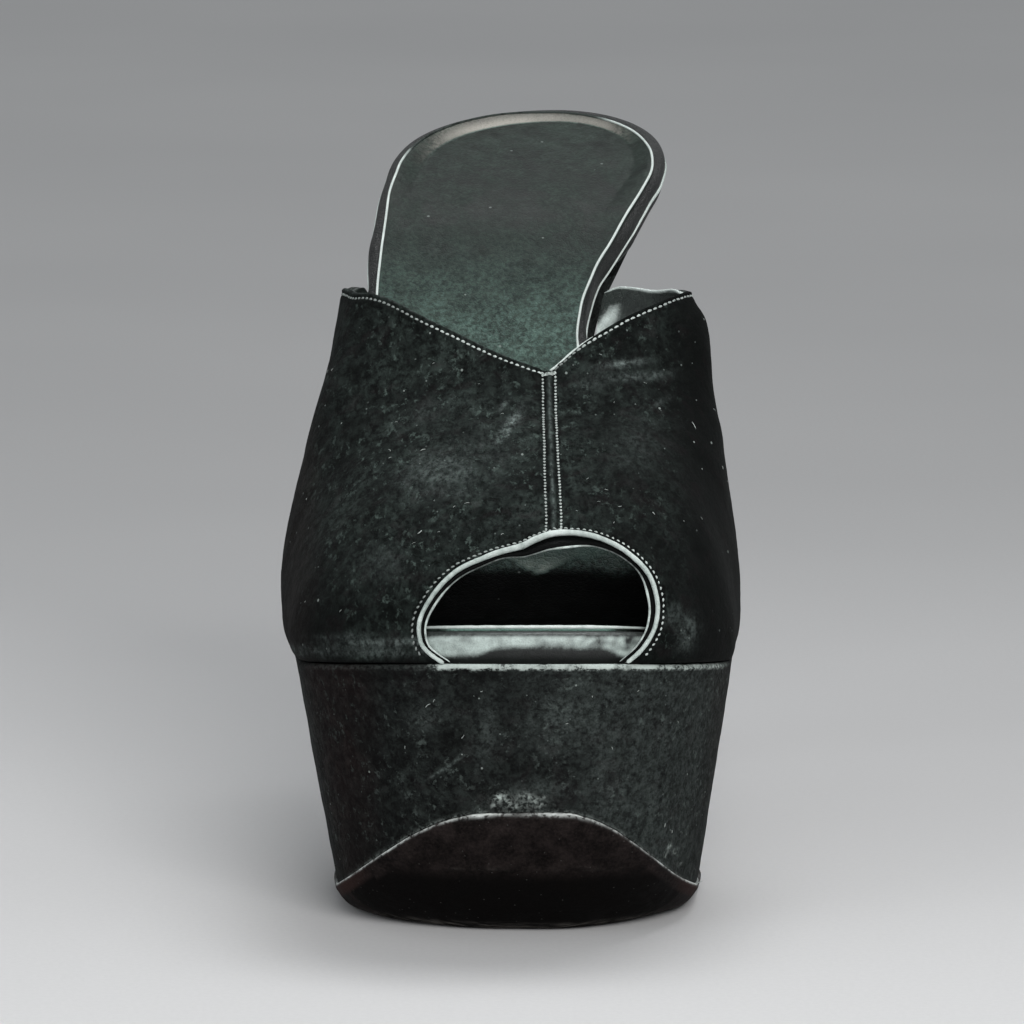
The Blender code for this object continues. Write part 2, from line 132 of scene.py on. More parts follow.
SECTION = table(
    "d     ridge_x  square",
    (0,    6.5,     0.85),
    (22,   6.5,     0.72),
    (45,   5.6,     0.62),
    (66,   5.0,     0.58),
    (85,   4.6,     0.54),
    (105,  3.0,     0.50),
    (125,  0.0,     0.50),
    (145,  -3.0,    0.55),
)
LIP = table(
    "d     outer  inner",
    (0,    28.2,  28.2),
    (5,    27.50, 27.50),
    (5.3,  27.33, 27.33),
    (5.7,  27.25, 26.70),
    (6.2,  26.95, 26.04),
    (7,    26.20, 25.0),
    (8.4,  24.80, 23.3),
    (10,   23.10, 21.4),
    (12,   21.05, 19.4),
    (14,   19.05, 17.6),
    (16,   17.30, 16.1),
    (18,   15.75, 14.7),
    (21,   13.65, 12.87),
    (24,   11.85, 11.32),
    (30,   9.00,  8.8),
    (38,   6.35,  6.3),
    (48,   4.2,   4.2),
    (58,   3.1,   3.1),
    (66,   2.8,   2.8),
)
ROCKER = table(
    "angle  outer  inner",
    (0,     0.69,  0.69),
    (20,    0.71,  0.695),
    (42,    0.80,  0.785),
    (65,    0.945, 0.94),
    (80,    0.99,  0.99),
    (90,    1.00,  1.00),
)
UNDER = table(
    "d     under",
    (66,   0.0),
    (88,   0.0),
    (95,   1.6),
    (102,  7.4),
    (109,  19.0),
    (117,  39.0),
    (125,  60.0),
    (133,  80.0),
    (141,  97.0),
    (149,  109.4),
    (157,  118.6),
    (165,  125.4),
    (175,  131.0),
)
TAPER = table(
    "d     outer  inner",
    (0,    9.5,   9.5),
    (30,   10.0,  9.1),
    (66,   10.4,  8.4),
    (100,  10.0,  7.0),
    (150,  5.0,   4.0),
)
ARCH = table(
    "angle  radius",
    (-8,    17.2),
    (2,     21.0),
    (12,    23.9),
    (22,    25.5),
    (33,    26.2),
    (46,    25.5),
    (59,    24.3),
    (73,    22.8),
    (84,    21.7),
    (92,    20.8),
    (101,   20.0),
    (120,   20.8),
    (138,   22.7),
    (153,   23.9),
    (166,   24.6),
    (175,   23.8),
    (188,   18.3),
)
TOPLINE = table(
    "share  outer   inner",
    (0.00,  141.0,  140.6),
    (0.04,  140.0,  139.4),
    (0.09,  137.0,  136.6),
    (0.17,  130.6,  131.2),
    (0.32,  120.0,  122.6),
    (0.42,  113.2,  116.6),
    (0.50,  109.2,  112.4),
    (0.60,  104.4,  107.2),
    (0.70,  99.4,   102.2),
    (0.80,  94.7,   97.9),
    (0.88,  90.7,   94.0),
    (0.94,  87.9,   90.4),
    (1.00,  85.0,   85.0),
)
HEEL = table(
    "drop   z      front   back    outer  inner",
    (0.0,   129.0, 171.0,  203.6,  25.4,  25.1),
    (11.0,  118.0, 173.0,  202.2,  21.0,  20.6),
    (23.0,  106.0, 175.2,  200.8,  16.8,  16.1),
    (39.0,  90.0,  176.6,  199.3,  13.8,  13.4),
    (65.0,  64.0,  176.6,  197.5,  11.8,  11.8),
    (91.0,  38.0,  175.0,  196.0,  10.7,  10.7),
    (111.0, 18.0,  173.4,  195.0,  10.2,  10.2),
    (123.1, 5.9,   172.4,  194.4,  10.1,  10.1),
)
# how far the lining reaches past the suede into the peep opening, round the arch
REACH = table(
    "angle  reach",
    (-8,    0.80),
    (10,    0.80),
    (27,    0.65),
    (40,    0.15),
    (60,    0.50),
    (79,    1.30),
    (91,    1.20),
    (100,   0.70),
    (112,   0.15),
    (136,   0.50),
    (159,   0.70),
    (188,   0.80),
)
# the seam's course: how far it lies from the ridge, and half the width between its two rows
SEAM = table(
    "d     off    half",
    (15,   -1.15, 1.50),
    (22,   -1.10, 1.50),
    (30,   -1.00, 1.50),
    (42,   -0.65, 1.45),
    (53,   -0.42, 1.34),
    (66,   -0.25, 1.32),
    (76,   -0.12, 1.32),
    (86,   0.00,  1.32),
)
# how far the footbed's sock lies in from the insole's outline
SOCK = table(
    "d     outer  inner",
    (0,    4.6,   4.6),
    (60,   5.0,   5.0),
    (120,  5.0,   5.0),
    (127,  4.7,   4.9),
    (132,  4.4,   3.6),
    (136,  4.1,   2.8),
    (141,  3.7,   2.3),
    (147,  3.0,   1.7),
    (152,  2.4,   1.5),
    (160,  2.1,   1.2),
    (168,  2.3,   1.7),
    (175,  2.7,   2.8),
    (185,  3.2,   3.8),
    (205,  3.6,   4.5),
)


def read(columns, name, at):
    """A smooth curve through one column, with no swing past its values."""
    xs = columns[next(iter(columns))]
    ys = columns[name]
    run = np.diff(xs)
    slope = np.diff(ys) / run
    tangent = np.empty_like(ys)
    tangent[0], tangent[-1] = slope[0], slope[-1]
    for i in range(1, len(xs) - 1):
        if slope[i - 1] * slope[i] <= 0:
            tangent[i] = 0
        else:
            one, two = 2 * run[i] + run[i - 1], run[i] + 2 * run[i - 1]
            tangent[i] = (one + two) / (one / slope[i - 1] + two / slope[i])
    at = np.clip(np.asarray(at, float), xs[0], xs[-1])
    i = np.clip(np.searchsorted(xs, at) - 1, 0, len(xs) - 2)
    t = (at - xs[i]) / run[i]
    return (
        (1 + 2 * t) * (1 - t) ** 2 * ys[i]
        + t * (1 - t) ** 2 * run[i] * tangent[i]
        + t * t * (3 - 2 * t) * ys[i + 1]
        + t * t * (t - 1) * run[i] * tangent[i + 1]
    )


def ease(at, start, end):
    """0 before start, 1 after end, smooth between."""
    t = np.clip((np.asarray(at, float) - start) / (end - start), 0, 1)
    return t * t * (3 - 2 * t)


def bell(at, middle, width):
    return np.exp(-(((np.asarray(at, float) - middle) / width) ** 2))


def rise(d):
    return read(PROFILE, "rise", d)


def edge(d, side):
    """x of the platform's top edge, or of the insole's behind the vamp; side is -1 outer, 1 inner."""
    d = np.asarray(d, float)
    x = side * read(OUTLINE, "inner" if side > 0 else "outer", d)
    toe = 1 - (1 - np.clip(d / TOE_ROUND, 0, 1)) ** TOE_POWER
    heel = 1 - (1 - np.clip((LENGTH - d) / HEEL_ROUND[side], 0, 1)) ** HEEL_POWER[side]
    x = TOE_CENTRE + (x - TOE_CENTRE) * toe ** (1 / TOE_POWER)
    return HEEL_CENTRE + (x - HEEL_CENTRE) * heel ** (1 / HEEL_POWER[side])


def outline(d, side, inset=0.0):
    """(x, d) on the top edge's outline, moved in square to it by inset, right up to both tips."""
    d = np.clip(np.asarray(d, float), 0, LENGTH)
    step = np.clip(np.minimum(d, LENGTH - d) * 0.4, 1e-6, 0.02)
    lean = (edge(d + step, side) - edge(d - step, side)) / (2 * step)
    size = np.sqrt(1 + lean * lean)
    return edge(d, side) - side * inset / size, d + side * lean * inset / size


def lip(d, side):
    """Height of the outsole's upper edge, which stands a little higher on the outer side."""
    round_toe = read(LIP, "inner" if side > 0 else "outer", d)
    return np.where(np.asarray(d) < 66, round_toe, read(UNDER, "under", d) + OUTSOLE_T)


def waist(d):
    return WAIST_INSET * ease(d, 112, 148)


def tread_edge(d, side):
    """(x, d) where the platform's tapered side meets the outsole."""
    taper = np.tan(np.radians(read(TAPER, "inner" if side > 0 else "outer", d)))
    at = np.asarray(d, float)
    for _ in range(6):
        drop = np.maximum(rise(d) - lip(at, side) - GAP, 0)
        x, at = outline(d, side, drop * taper + waist(d))
    return x, at


def toe_rows(last, count_toe, count_rest):
    """Places along one side, spaced evenly round the toe, from the tip (0) back to last."""
    phi = np.linspace(0, math.pi / 2, count_toe)
    toe = TOE_ROUND * (1 - np.cos(phi) ** (2 / TOE_POWER))
    return np.concatenate([toe, np.linspace(TOE_ROUND, last, count_rest + 1)[1:]])


def tread_radii():
    rows = []
    for side in (-1, 1):
        d = toe_rows(92.0, 500, 400)
        x, at = tread_edge(d, side)
        angle = np.degrees(np.arctan2(x - CONTACT_X, CONTACT_D - at))
        rows.append(np.stack([angle, np.hypot(x - CONTACT_X, CONTACT_D - at), lip(at, side) - OUTSOLE_T], 1))
    rows = np.concatenate(rows)
    return rows[np.argsort(rows[:, 0])]


TREAD = tread_radii()


def under(x, d):
    """Height of the outsole's under side."""
    x, d = np.asarray(x, float), np.asarray(d, float)
    angle = np.degrees(np.arctan2(x - CONTACT_X, CONTACT_D - d))
    reach = np.interp(angle, TREAD[:, 0], TREAD[:, 1])
    high = np.interp(angle, TREAD[:, 0], TREAD[:, 2])
    turned = np.minimum(np.abs(angle), 90)
    flat = np.where(angle < 0, read(ROCKER, "outer", turned), read(ROCKER, "inner", turned))
    t = (np.hypot(x - CONTACT_X, CONTACT_D - d) / reach - flat) / np.maximum(1 - flat, 0.02)
    front = high * np.clip(t, 0, 1.2) ** ROCKER_POWER
    return np.where(d < CONTACT_D, np.where(np.abs(angle) < 89.5, front, 0), read(UNDER, "under", d))


UNDER_LINE = (np.linspace(66, 175, 400), read(UNDER, "under", np.linspace(66, 175, 400)))
UNDER_SLOPE = np.where(UNDER_LINE[0] > 88, np.gradient(UNDER_LINE[1], UNDER_LINE[0]), 0)


def sole_thickness(d):
    return OUTSOLE_T * np.sqrt(1 + np.interp(d, UNDER_LINE[0], UNDER_SLOPE) ** 2)


def board(d):
    """Upright thickness of the insole."""
    slope = rise(np.asarray(d) + 0.5) - rise(np.asarray(d) - 0.5)
    thick = INSOLE_TOE_T + (INSOLE_T - INSOLE_TOE_T) * ease(d, 6, 40)
    return thick * np.sqrt(1 + np.maximum(slope, 0) ** 2)


def vamp(d, turn):
    """(x, d, z) on the vamp's outer face. turn runs 0 at the outer bottom edge, pi/2 on the ridge, pi at the inner one."""
    d, turn = np.broadcast_arrays(np.asarray(d, float), np.asarray(turn, float))
    across, up = np.cos(turn), np.sin(turn)
    height = read(PROFILE, "ridge", d) * up
    square = np.abs(across) ** read(SECTION, "square", d)
    swell = (1 - np.exp(-height / BULGE_H)) * ease(d, 2, 14) * (1 - 0.6 * ease(d, 120, 139))
    lean = 1 - np.exp(-height / FLARE_H)
    outer = edge(d, -1) - BULGE[-1] * swell - read(OUTLINE, "lean_out", d) * lean
    inner = edge(d, 1) + BULGE[1] * swell + read(OUTLINE, "lean_in", d) * lean
    middle = read(SECTION, "ridge_x", d)
    x = np.where(across > 0, middle + (outer - middle) * square, middle + (inner - middle) * square)
    return np.stack([x, d, rise(d) + GAP + height], -1)


FINE_TURN = np.unique(
    np.concatenate(
        [
            (1 - np.cos(np.linspace(0, math.pi, 901))) / 2 * math.pi,
            np.clip(math.pi / 2 + np.linspace(-1, 1, 801) ** 5 * 0.5, 0, math.pi),
        ]
    )
)


def section_lengths(d):
    """Distance over the vamp's section at d, from its ridge to each FINE_TURN, on each side; negative to the outer side."""
    section = vamp(np.asarray(d, float)[:, None], FINE_TURN[None, :])
    steps = np.linalg.norm(np.diff(section, axis=1), axis=2)
    length = np.concatenate([np.zeros((len(d), 1)), np.cumsum(steps, axis=1)], axis=1)
    middle = np.array([np.interp(math.pi / 2, FINE_TURN, row) for row in length])
    return length - middle[:, None]


def back_table():
    """How far back the vamp reaches, for each turn."""
    share = np.linspace(0, 1, 2001)
    length = section_lengths([66.0])[0]
    part = np.where(length < 0, 0.5 + 0.5 * length / -length[0], 0.5 + 0.5 * length / length[-1])
    turn = np.interp(share, part, FINE_TURN)
    near = np.minimum(share, 1 - share) * 2
    back = np.where(share <= 0.5, read(TOPLINE, "outer", near), read(TOPLINE, "inner", near))
    return turn, back


BACK_TURN, BACK_D = back_table()


# ---- noise and small helpers -------------------------------------------------------------
def unit(v):
    return v / np.maximum(np.linalg.norm(v, axis=-1, keepdims=True), 1e-12)


def noise(points, size, seed):
    """Smooth noise of about -1 to 1 whose lumps are about size across."""
    gradients = unit(np.random.default_rng(seed).normal(size=(4096, 3)))
    p = points / size + 37.3
    cell = np.floor(p).astype(np.int64)
    f = p - cell
    u = f * f * f * (f * (f * 6 - 15) + 10)
    total = np.zeros(p.shape[:-1])
    for corner in np.ndindex(2, 2, 2):
        c = cell + corner
        mixed = (c[..., 0] * 73856093) ^ (c[..., 1] * 19349663) ^ (c[..., 2] * 83492791)
        g = gradients[(mixed + seed * 7919) & 4095]
        weight = np.prod(np.where(np.array(corner) == 1, u, 1 - u), axis=-1)
        total += weight * ((f - corner) * g).sum(-1)
    return total * 1.7


def layers(points, size, seed, count=3):
    return sum(noise(points, size / 2**k, seed + k) / 1.8**k for k in range(count)) / 1.6


def edge_drop(s, radius):
    """How far a rounded edge lies below the face, at distance s in from it."""
    s = np.clip(s, 0, radius)
    return radius - np.sqrt(np.maximum(radius**2 - (radius - s) ** 2, 0))


def put(points):
    return (np.asarray(points) - SHIFT) * MM


def signed_volume(points, faces):
    total = 0.0
    for group in faces:
        for k in range(1, group.shape[1] - 1):
            a, b, c = points[group[:, 0]], points[group[:, k]], points[group[:, k + 1]]
            total += np.einsum("ij,ij->i", a, np.cross(b, c)).sum()
    return total


def make_piece(name, points, faces, material, masks=None, replaces=(), sharp=50):
    """A smooth-shaded mesh object from points in the shoe's millimetres; faces is a list of index arrays, one for each face size."""
    faces = [np.asarray(group, np.int64) for group in faces if len(group)]
    used = np.zeros(len(points), bool)
    for group in faces:
        used[group] = True
    renumber = np.cumsum(used) - 1
    points, faces = points[used], [renumber[group] for group in faces]
    masks = {key: np.asarray(values)[used] for key, values in (masks or {}).items()}
    if signed_volume(points, faces) < 0:
        faces = [group[:, ::-1] for group in faces]
    mesh = bpy.data.meshes.new(name)
    mesh.vertices.add(len(points))
    mesh.vertices.foreach_set("co", put(points).astype(np.float32).ravel())
    corners = np.concatenate([group.ravel() for group in faces]).astype(np.int32)
    sizes = np.concatenate([np.full(len(group), group.shape[1]) for group in faces])
    starts = np.concatenate([[0], np.cumsum(sizes)[:-1]]).astype(np.int32)
    mesh.loops.add(len(corners))
    mesh.loops.foreach_set("vertex_index", corners)
    mesh.polygons.add(len(sizes))
    mesh.polygons.foreach_set("loop_start", starts)
    mesh.update(calc_edges=True)
    for key, values in masks.items():
        layer = mesh.attributes.new(key, "FLOAT", "POINT")
        layer.data.foreach_set("value", np.asarray(values, np.float32).ravel())
    mesh.validate()
    mesh.shade_smooth()
    if sharp:
        mesh.set_sharp_from_angle(angle=math.radians(sharp))
    mesh.materials.append(material)
    piece = bpy.data.objects.new(name, mesh)
    bpy.context.scene.collection.objects.link(piece)
    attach(piece, "root")
    if replaces:
        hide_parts(*replaces)
    return piece


def grid_faces(rows, columns, start=0):
    a = start + np.arange((rows - 1) * columns).reshape(rows - 1, columns)[:, :-1].ravel()
    return np.stack([a, a + 1, a + columns + 1, a + columns], 1)


def rim_of(rows, columns, start=0):
    """The grid's border as one closed walk of indices."""
    index = start + np.arange(rows * columns).reshape(rows, columns)
    return np.concatenate([index[0, :-1], index[:-1, -1], index[-1, :0:-1], index[:0:-1, 0]])


def shell(outer, inner, every):
    """A closed sheet: a fine outer grid and an inner one of each every-th row and column, joined round the rim."""
    rows, columns = outer.shape[:2]
    back = inner[::every, ::every]
    start = rows * columns
    quads = [grid_faces(rows, columns), grid_faces(*back.shape[:2], start)[:, ::-1]]
    fine, coarse = rim_of(rows, columns), rim_of(*back.shape[:2], start)
    o = np.stack([np.roll(fine, -k)[::every] for k in range(every + 1)], 1)
    near, far = coarse, np.roll(coarse, -1)
    half, tris = every // 2, []
    for k in range(every):
        if k == half:
            quads.append(np.stack([o[:, k + 1], o[:, k], near, far], 1))
        else:
            tris.append(np.stack([o[:, k + 1], o[:, k], near if k < half else far], 1))
    points = np.concatenate([outer.reshape(-1, 3), back.reshape(-1, 3)])
    return points, [np.concatenate(quads), np.concatenate(tris)]


def grid_normals(grid, outward):
    """Unit normals of a grid of points, facing the way that outward says."""
    normal = unit(np.cross(np.gradient(grid, axis=1), np.gradient(grid, axis=0)))
    return normal * (1 if (normal * outward).sum() > 0 else -1)


def lens(outer, inner, columns, top, bottom, tip, tail):
    """A closed body from matching loops of its outer and inner side, each levels x places x 3, from the top level down.

    tip and tail say that both sides meet in one point at the first and last place. top and bottom
    give the height over (x, d) of the two faces between the sides.
    """
    levels, places = outer.shape[:2]
    points = [outer.reshape(-1, 3), inner.reshape(-1, 3)]
    left = np.arange(levels * places).reshape(levels, places)
    right = left + levels * places
    right[:, 0] = left[:, 0] if tip else right[:, 0]
    right[:, -1] = left[:, -1] if tail else right[:, -1]
    count = 2 * levels * places
    quads, tris = [], []
    for side in (left, right[:, ::-1]):
        a, b, c, e = side[:-1, :-1], side[:-1, 1:], side[1:, 1:], side[1:, :-1]
        quads.append(np.stack([a.ravel(), b.ravel(), c.ravel(), e.ravel()], 1))
    caps = []
    for level, height in ((0, top), (-1, bottom)):
        one, two = outer[level], inner[level]
        share = np.linspace(0, 1, columns)
        share = (share + 0.25 * np.sin(2 * math.pi * share) * -0.5)[1:-1]
        flat = one[:, None, :2] * (1 - share)[None, :, None] + two[:, None, :2] * share[None, :, None]
        z = height(flat[..., 0], flat[..., 1])
        miss_one = one[:, 2] - height(one[:, 0], one[:, 1])
        miss_two = two[:, 2] - height(two[:, 0], two[:, 1])
        z = z + miss_one[:, None] * (1 - share) ** 12 + miss_two[:, None] * share**12
        index = count + np.arange(places * (columns - 2)).reshape(places, columns - 2)
        count += places * (columns - 2)
        points.append(np.concatenate([flat, z[..., None]], -1).reshape(-1, 3))
        whole = np.concatenate([left[level][:, None], index, right[level][:, None]], 1)
        whole[0] = left[level][0] if tip else whole[0]
        whole[-1] = left[level][-1] if tail else whole[-1]
        caps.append(whole)
        a, b, c, e = whole[:-1, :-1], whole[:-1, 1:], whole[1:, 1:], whole[1:, :-1]
        cells = np.stack([a.ravel(), b.ravel(), c.ravel(), e.ravel()], 1)
        if level == 0:
            cells = cells[:, ::-1]
        point_first, point_last = cells[:, 0] == cells[:, 1], cells[:, 2] == cells[:, 3]
        quads.append(cells[~(point_first | point_last)])
        tris.append(cells[point_first][:, [0, 2, 3]])
        tris.append(cells[point_last][:, [0, 1, 2]])
    # the walls turned, so that wall and cap run along each shared edge in opposite directions
    quads[0] = quads[0][:, ::-1]
    quads[1] = quads[1][:, ::-1]
    for end, closed in ((0, tip), (-1, tail)):
        if closed:
            continue
        # a flat end: strips between the two caps, with the wall's levels down both sides
        rows = [caps[0][end]]
        low, high = left[:, end], right[:, end]
        for k in range(1, levels - 1):
            share = np.linspace(0, 1, columns)[1:-1, None]
            middle = outer[k, end] * (1 - share) + inner[k, end] * share
            upper = np.concatenate([p.reshape(-1, 3) for p in points])[caps[0][end][1:-1]]
            lower = np.concatenate([p.reshape(-1, 3) for p in points])[caps[1][end][1:-1]]
            t = k / (levels - 1)
            middle[:, 1] = upper[:, 1] * (1 - t) + lower[:, 1] * t
            middle[:, 2] = upper[:, 2] * (1 - t) + lower[:, 2] * t
            rows.append(np.concatenate([[low[k]], count + np.arange(columns - 2), [high[k]]]))
            points.append(middle)
            count += columns - 2
        rows.append(caps[1][end])
        rows = np.array(rows)
        a, b, c, e = rows[:-1, :-1], rows[:-1, 1:], rows[1:, 1:], rows[1:, :-1]
        cells = np.stack([a.ravel(), b.ravel(), c.ravel(), e.ravel()], 1)
        quads.append(cells[:, ::-1] if end == -1 else cells)
    return np.concatenate([p.reshape(-1, 3) for p in points]), [np.concatenate(quads), np.concatenate(tris)], caps


def ring_tube(path, normal, high, wide, sides=12):
    """A rounded strand along a path that comes round to its own start."""
    along = unit(np.roll(path, -1, axis=0) - np.roll(path, 1, axis=0))
    normal = unit(normal - (normal * along).sum(-1, keepdims=True) * along)
    across = np.cross(along, normal)
    angle = np.arange(sides) / sides * 2 * math.pi
    ring = (
        path[:, None]
        + normal[:, None] * (np.cos(angle)[None, :] * np.broadcast_to(high, len(path))[:, None])[..., None]
        + across[:, None] * (np.sin(angle)[None, :] * np.broadcast_to(wide, len(path))[:, None])[..., None]
    )
    j, quads = np.arange(sides), []
    for k in range(len(path)):
        here, there = k * sides, (k + 1) % len(path) * sides
        quads.append(np.stack([here + j, here + (j + 1) % sides, there + (j + 1) % sides, there + j], 1))
    return ring.reshape(-1, 3), [np.concatenate(quads)]


def tube(path, normal, high, wide, sides=12, taper=0.8):
    """A closed rounded strand along path: its section is an ellipse, high along normal and wide across it; its ends are round."""
    path, normal = np.asarray(path, float), np.asarray(normal, float)
    count = len(path)
    along = unit(np.gradient(path, axis=0))
    normal = unit(normal - (normal * along).sum(-1, keepdims=True) * along)
    across = np.cross(along, normal)
    walk = np.concatenate([[0], np.cumsum(np.linalg.norm(np.diff(path, axis=0), axis=1))])
    left = np.minimum(walk, walk[-1] - walk)
    size = np.sqrt(np.clip(1 - (1 - np.clip(left / taper, 0, 1)) ** 2, 0.0004, 1))
    angle = np.arange(sides) / sides * 2 * math.pi
    ring = (
        path[:, None]
        + normal[:, None] * (np.cos(angle)[None, :, None] * (np.broadcast_to(high, count) * size)[:, None, None])
        + across[:, None] * (np.sin(angle)[None, :, None] * (np.broadcast_to(wide, count) * size)[:, None, None])
    )
    points = np.concatenate([ring.reshape(-1, 3), path[:1], path[-1:]])
    j = np.arange(sides)
    quads = []
    for k in range(count - 1):
        a, b = k * sides + j, k * sides + (j + 1) % sides
        quads.append(np.stack([a, b, b + sides, a + sides], 1))
    first, last = count * sides, count * sides + 1
    tris = [np.stack([(j + 1) % sides, j, np.full(sides, first)], 1)]
    base = (count - 1) * sides
    tris.append(np.stack([base + j, base + (j + 1) % sides, np.full(sides, last)], 1))
    return points, [np.concatenate(quads), np.concatenate(tris)]


def join(bodies):
    """Several (points, faces) as one, each turned to face outward first."""
    points, quads, tris, count = [], [], [], 0
    for body, faces in bodies:
        flip = signed_volume(body, faces) < 0
        for group in faces:
            group = (group[:, ::-1] if flip else group) + count
            (quads if group.shape[1] == 4 else tris).append(group)
        points.append(body)
        count += len(body)
    return np.concatenate(points), [np.concatenate(g) for g in (quads, tris) if g]


def resample(path, pitch, *others, start=0.0):
    """Places a pitch apart along a path, with what goes with them."""
    walk = np.concatenate([[0], np.cumsum(np.linalg.norm(np.diff(path, axis=0), axis=1))])
    at = np.arange(start, walk[-1], pitch)
    both = [np.stack([np.interp(at, walk, column) for column in field.T], 1) for field in (path, *others)]
    return at, both


def near_line(points, path, width):
    """1 on a line through the given points, fading over width."""
    path = np.asarray(path, float)
    best = np.full(points.shape[:-1], 1e9)
    for a, b in zip(path, path[1:]):
        t = np.clip(((points - a) @ (b - a)) / max(((b - a) ** 2).sum(), 1e-9), 0, 1)
        best = np.minimum(best, np.linalg.norm(points - a - t[..., None] * (b - a), axis=-1))
    return np.exp(-((best / width) ** 2))


# ---- materials ---------------------------------------------------------------------------
class Nodes:
    """A short way to write a material's nodes."""

    def __init__(self, name):
        self.material = bpy.data.materials.new(name)
        self.material.use_nodes = True
        self.tree = self.material.node_tree
        self.shader = self.tree.nodes["Principled BSDF"]
        self.coords = self.add("ShaderNodeTexCoord").outputs["Object"]

    def add(self, kind, **settings):
        node = self.tree.nodes.new(kind)
        for key, value in settings.items():
            setattr(node, key, value)
        return node

    def link(self, source, socket):
        if isinstance(source, (int, float)):
            socket.default_value = source
        elif isinstance(source, tuple):
            socket.default_value = (*source, 1) if len(source) == 3 and socket.type == "RGBA" else source
        else:
            self.tree.links.new(source, socket)

    def noise(self, size, detail=3.0, rough=0.6, stretch=None, distort=0.0):
        """Noise whose lumps are about size millimetres."""
        node = self.add("ShaderNodeTexNoise")
        self.link(self.stretched(stretch), node.inputs["Vector"])
        node.inputs["Scale"].default_value = 1000.0 / size
        node.inputs["Detail"].default_value = detail
        node.inputs["Roughness"].default_value = rough
        node.inputs["Distortion"].default_value = distort
        return node.outputs["Fac"]

    def cells(self, size, feature="F1", stretch=None, output="Distance", smooth=None):
        node = self.add("ShaderNodeTexVoronoi", feature=feature)
        self.link(self.stretched(stretch), node.inputs["Vector"])
        node.inputs["Scale"].default_value = 1000.0 / size
        return node.outputs[output]

    def stretched(self, stretch):
        if stretch is None:
            return self.coords
        node = self.add("ShaderNodeMapping")
        self.link(self.coords, node.inputs["Vector"])
        node.inputs["Scale"].default_value = stretch
        return node.outputs["Vector"]

    def warped(self, size, amount):
        """Coordinates pushed about by noise, for cells that aren't round."""
        node = self.add("ShaderNodeTexNoise")
        self.link(self.coords, node.inputs["Vector"])
        node.inputs["Scale"].default_value = 1000.0 / size
        minus = self.add("ShaderNodeVectorMath", operation="SUBTRACT")
        self.link(node.outputs["Color"], minus.inputs[0])
        minus.inputs[1].default_value = (0.5, 0.5, 0.5)
        scale = self.add("ShaderNodeVectorMath", operation="SCALE")
        self.link(minus.outputs[0], scale.inputs[0])
        scale.inputs["Scale"].default_value = amount * MM
        plus = self.add("ShaderNodeVectorMath", operation="ADD")
        self.link(scale.outputs[0], plus.inputs[0])
        self.link(self.coords, plus.inputs[1])
        return plus.outputs[0]

    def mask(self, name):
        return self.add("ShaderNodeAttribute", attribute_name=name).outputs["Fac"]

    def math(self, operation, a, b=0.0, clamp=False):
        node = self.add("ShaderNodeMath", operation=operation, use_clamp=clamp)
        self.link(a, node.inputs[0])
        self.link(b, node.inputs[1])
        return node.outputs[0]

    def span(self, value, low, high, to_low=0.0, to_high=1.0, smooth=True):
        node = self.add("ShaderNodeMapRange", interpolation_type="SMOOTHSTEP" if smooth else "LINEAR")
        self.link(value, node.inputs["Value"])
        for key, number in zip(("From Min", "From Max", "To Min", "To Max"), (low, high, to_low, to_high)):
            node.inputs[key].default_value = number
        return node.outputs["Result"]

    def mix(self, fac, a, b, blend="MIX"):
        node = self.add("ShaderNodeMix", data_type="RGBA", blend_type=blend)
        self.link(fac, node.inputs[0])
        self.link(a, node.inputs[6])
        self.link(b, node.inputs[7])
        return node.outputs[2]

    def bump(self, height, strength, distance, under=None):
        node = self.add("ShaderNodeBump")
        self.link(height, node.inputs["Height"])
        node.inputs["Strength"].default_value = strength
        node.inputs["Distance"].default_value = distance * MM
        if under is not None:
            self.link(under, node.inputs["Normal"])
        return node.outputs["Normal"]

    def done(self, colour, roughness, normal, **fixed):
        self.link(colour, self.shader.inputs["Base Color"])
        self.link(roughness, self.shader.inputs["Roughness"])
        self.link(normal, self.shader.inputs["Normal"])
        for key, value in fixed.items():
            self.link(value, self.shader.inputs[key.replace("_", " ")])
        return self.material


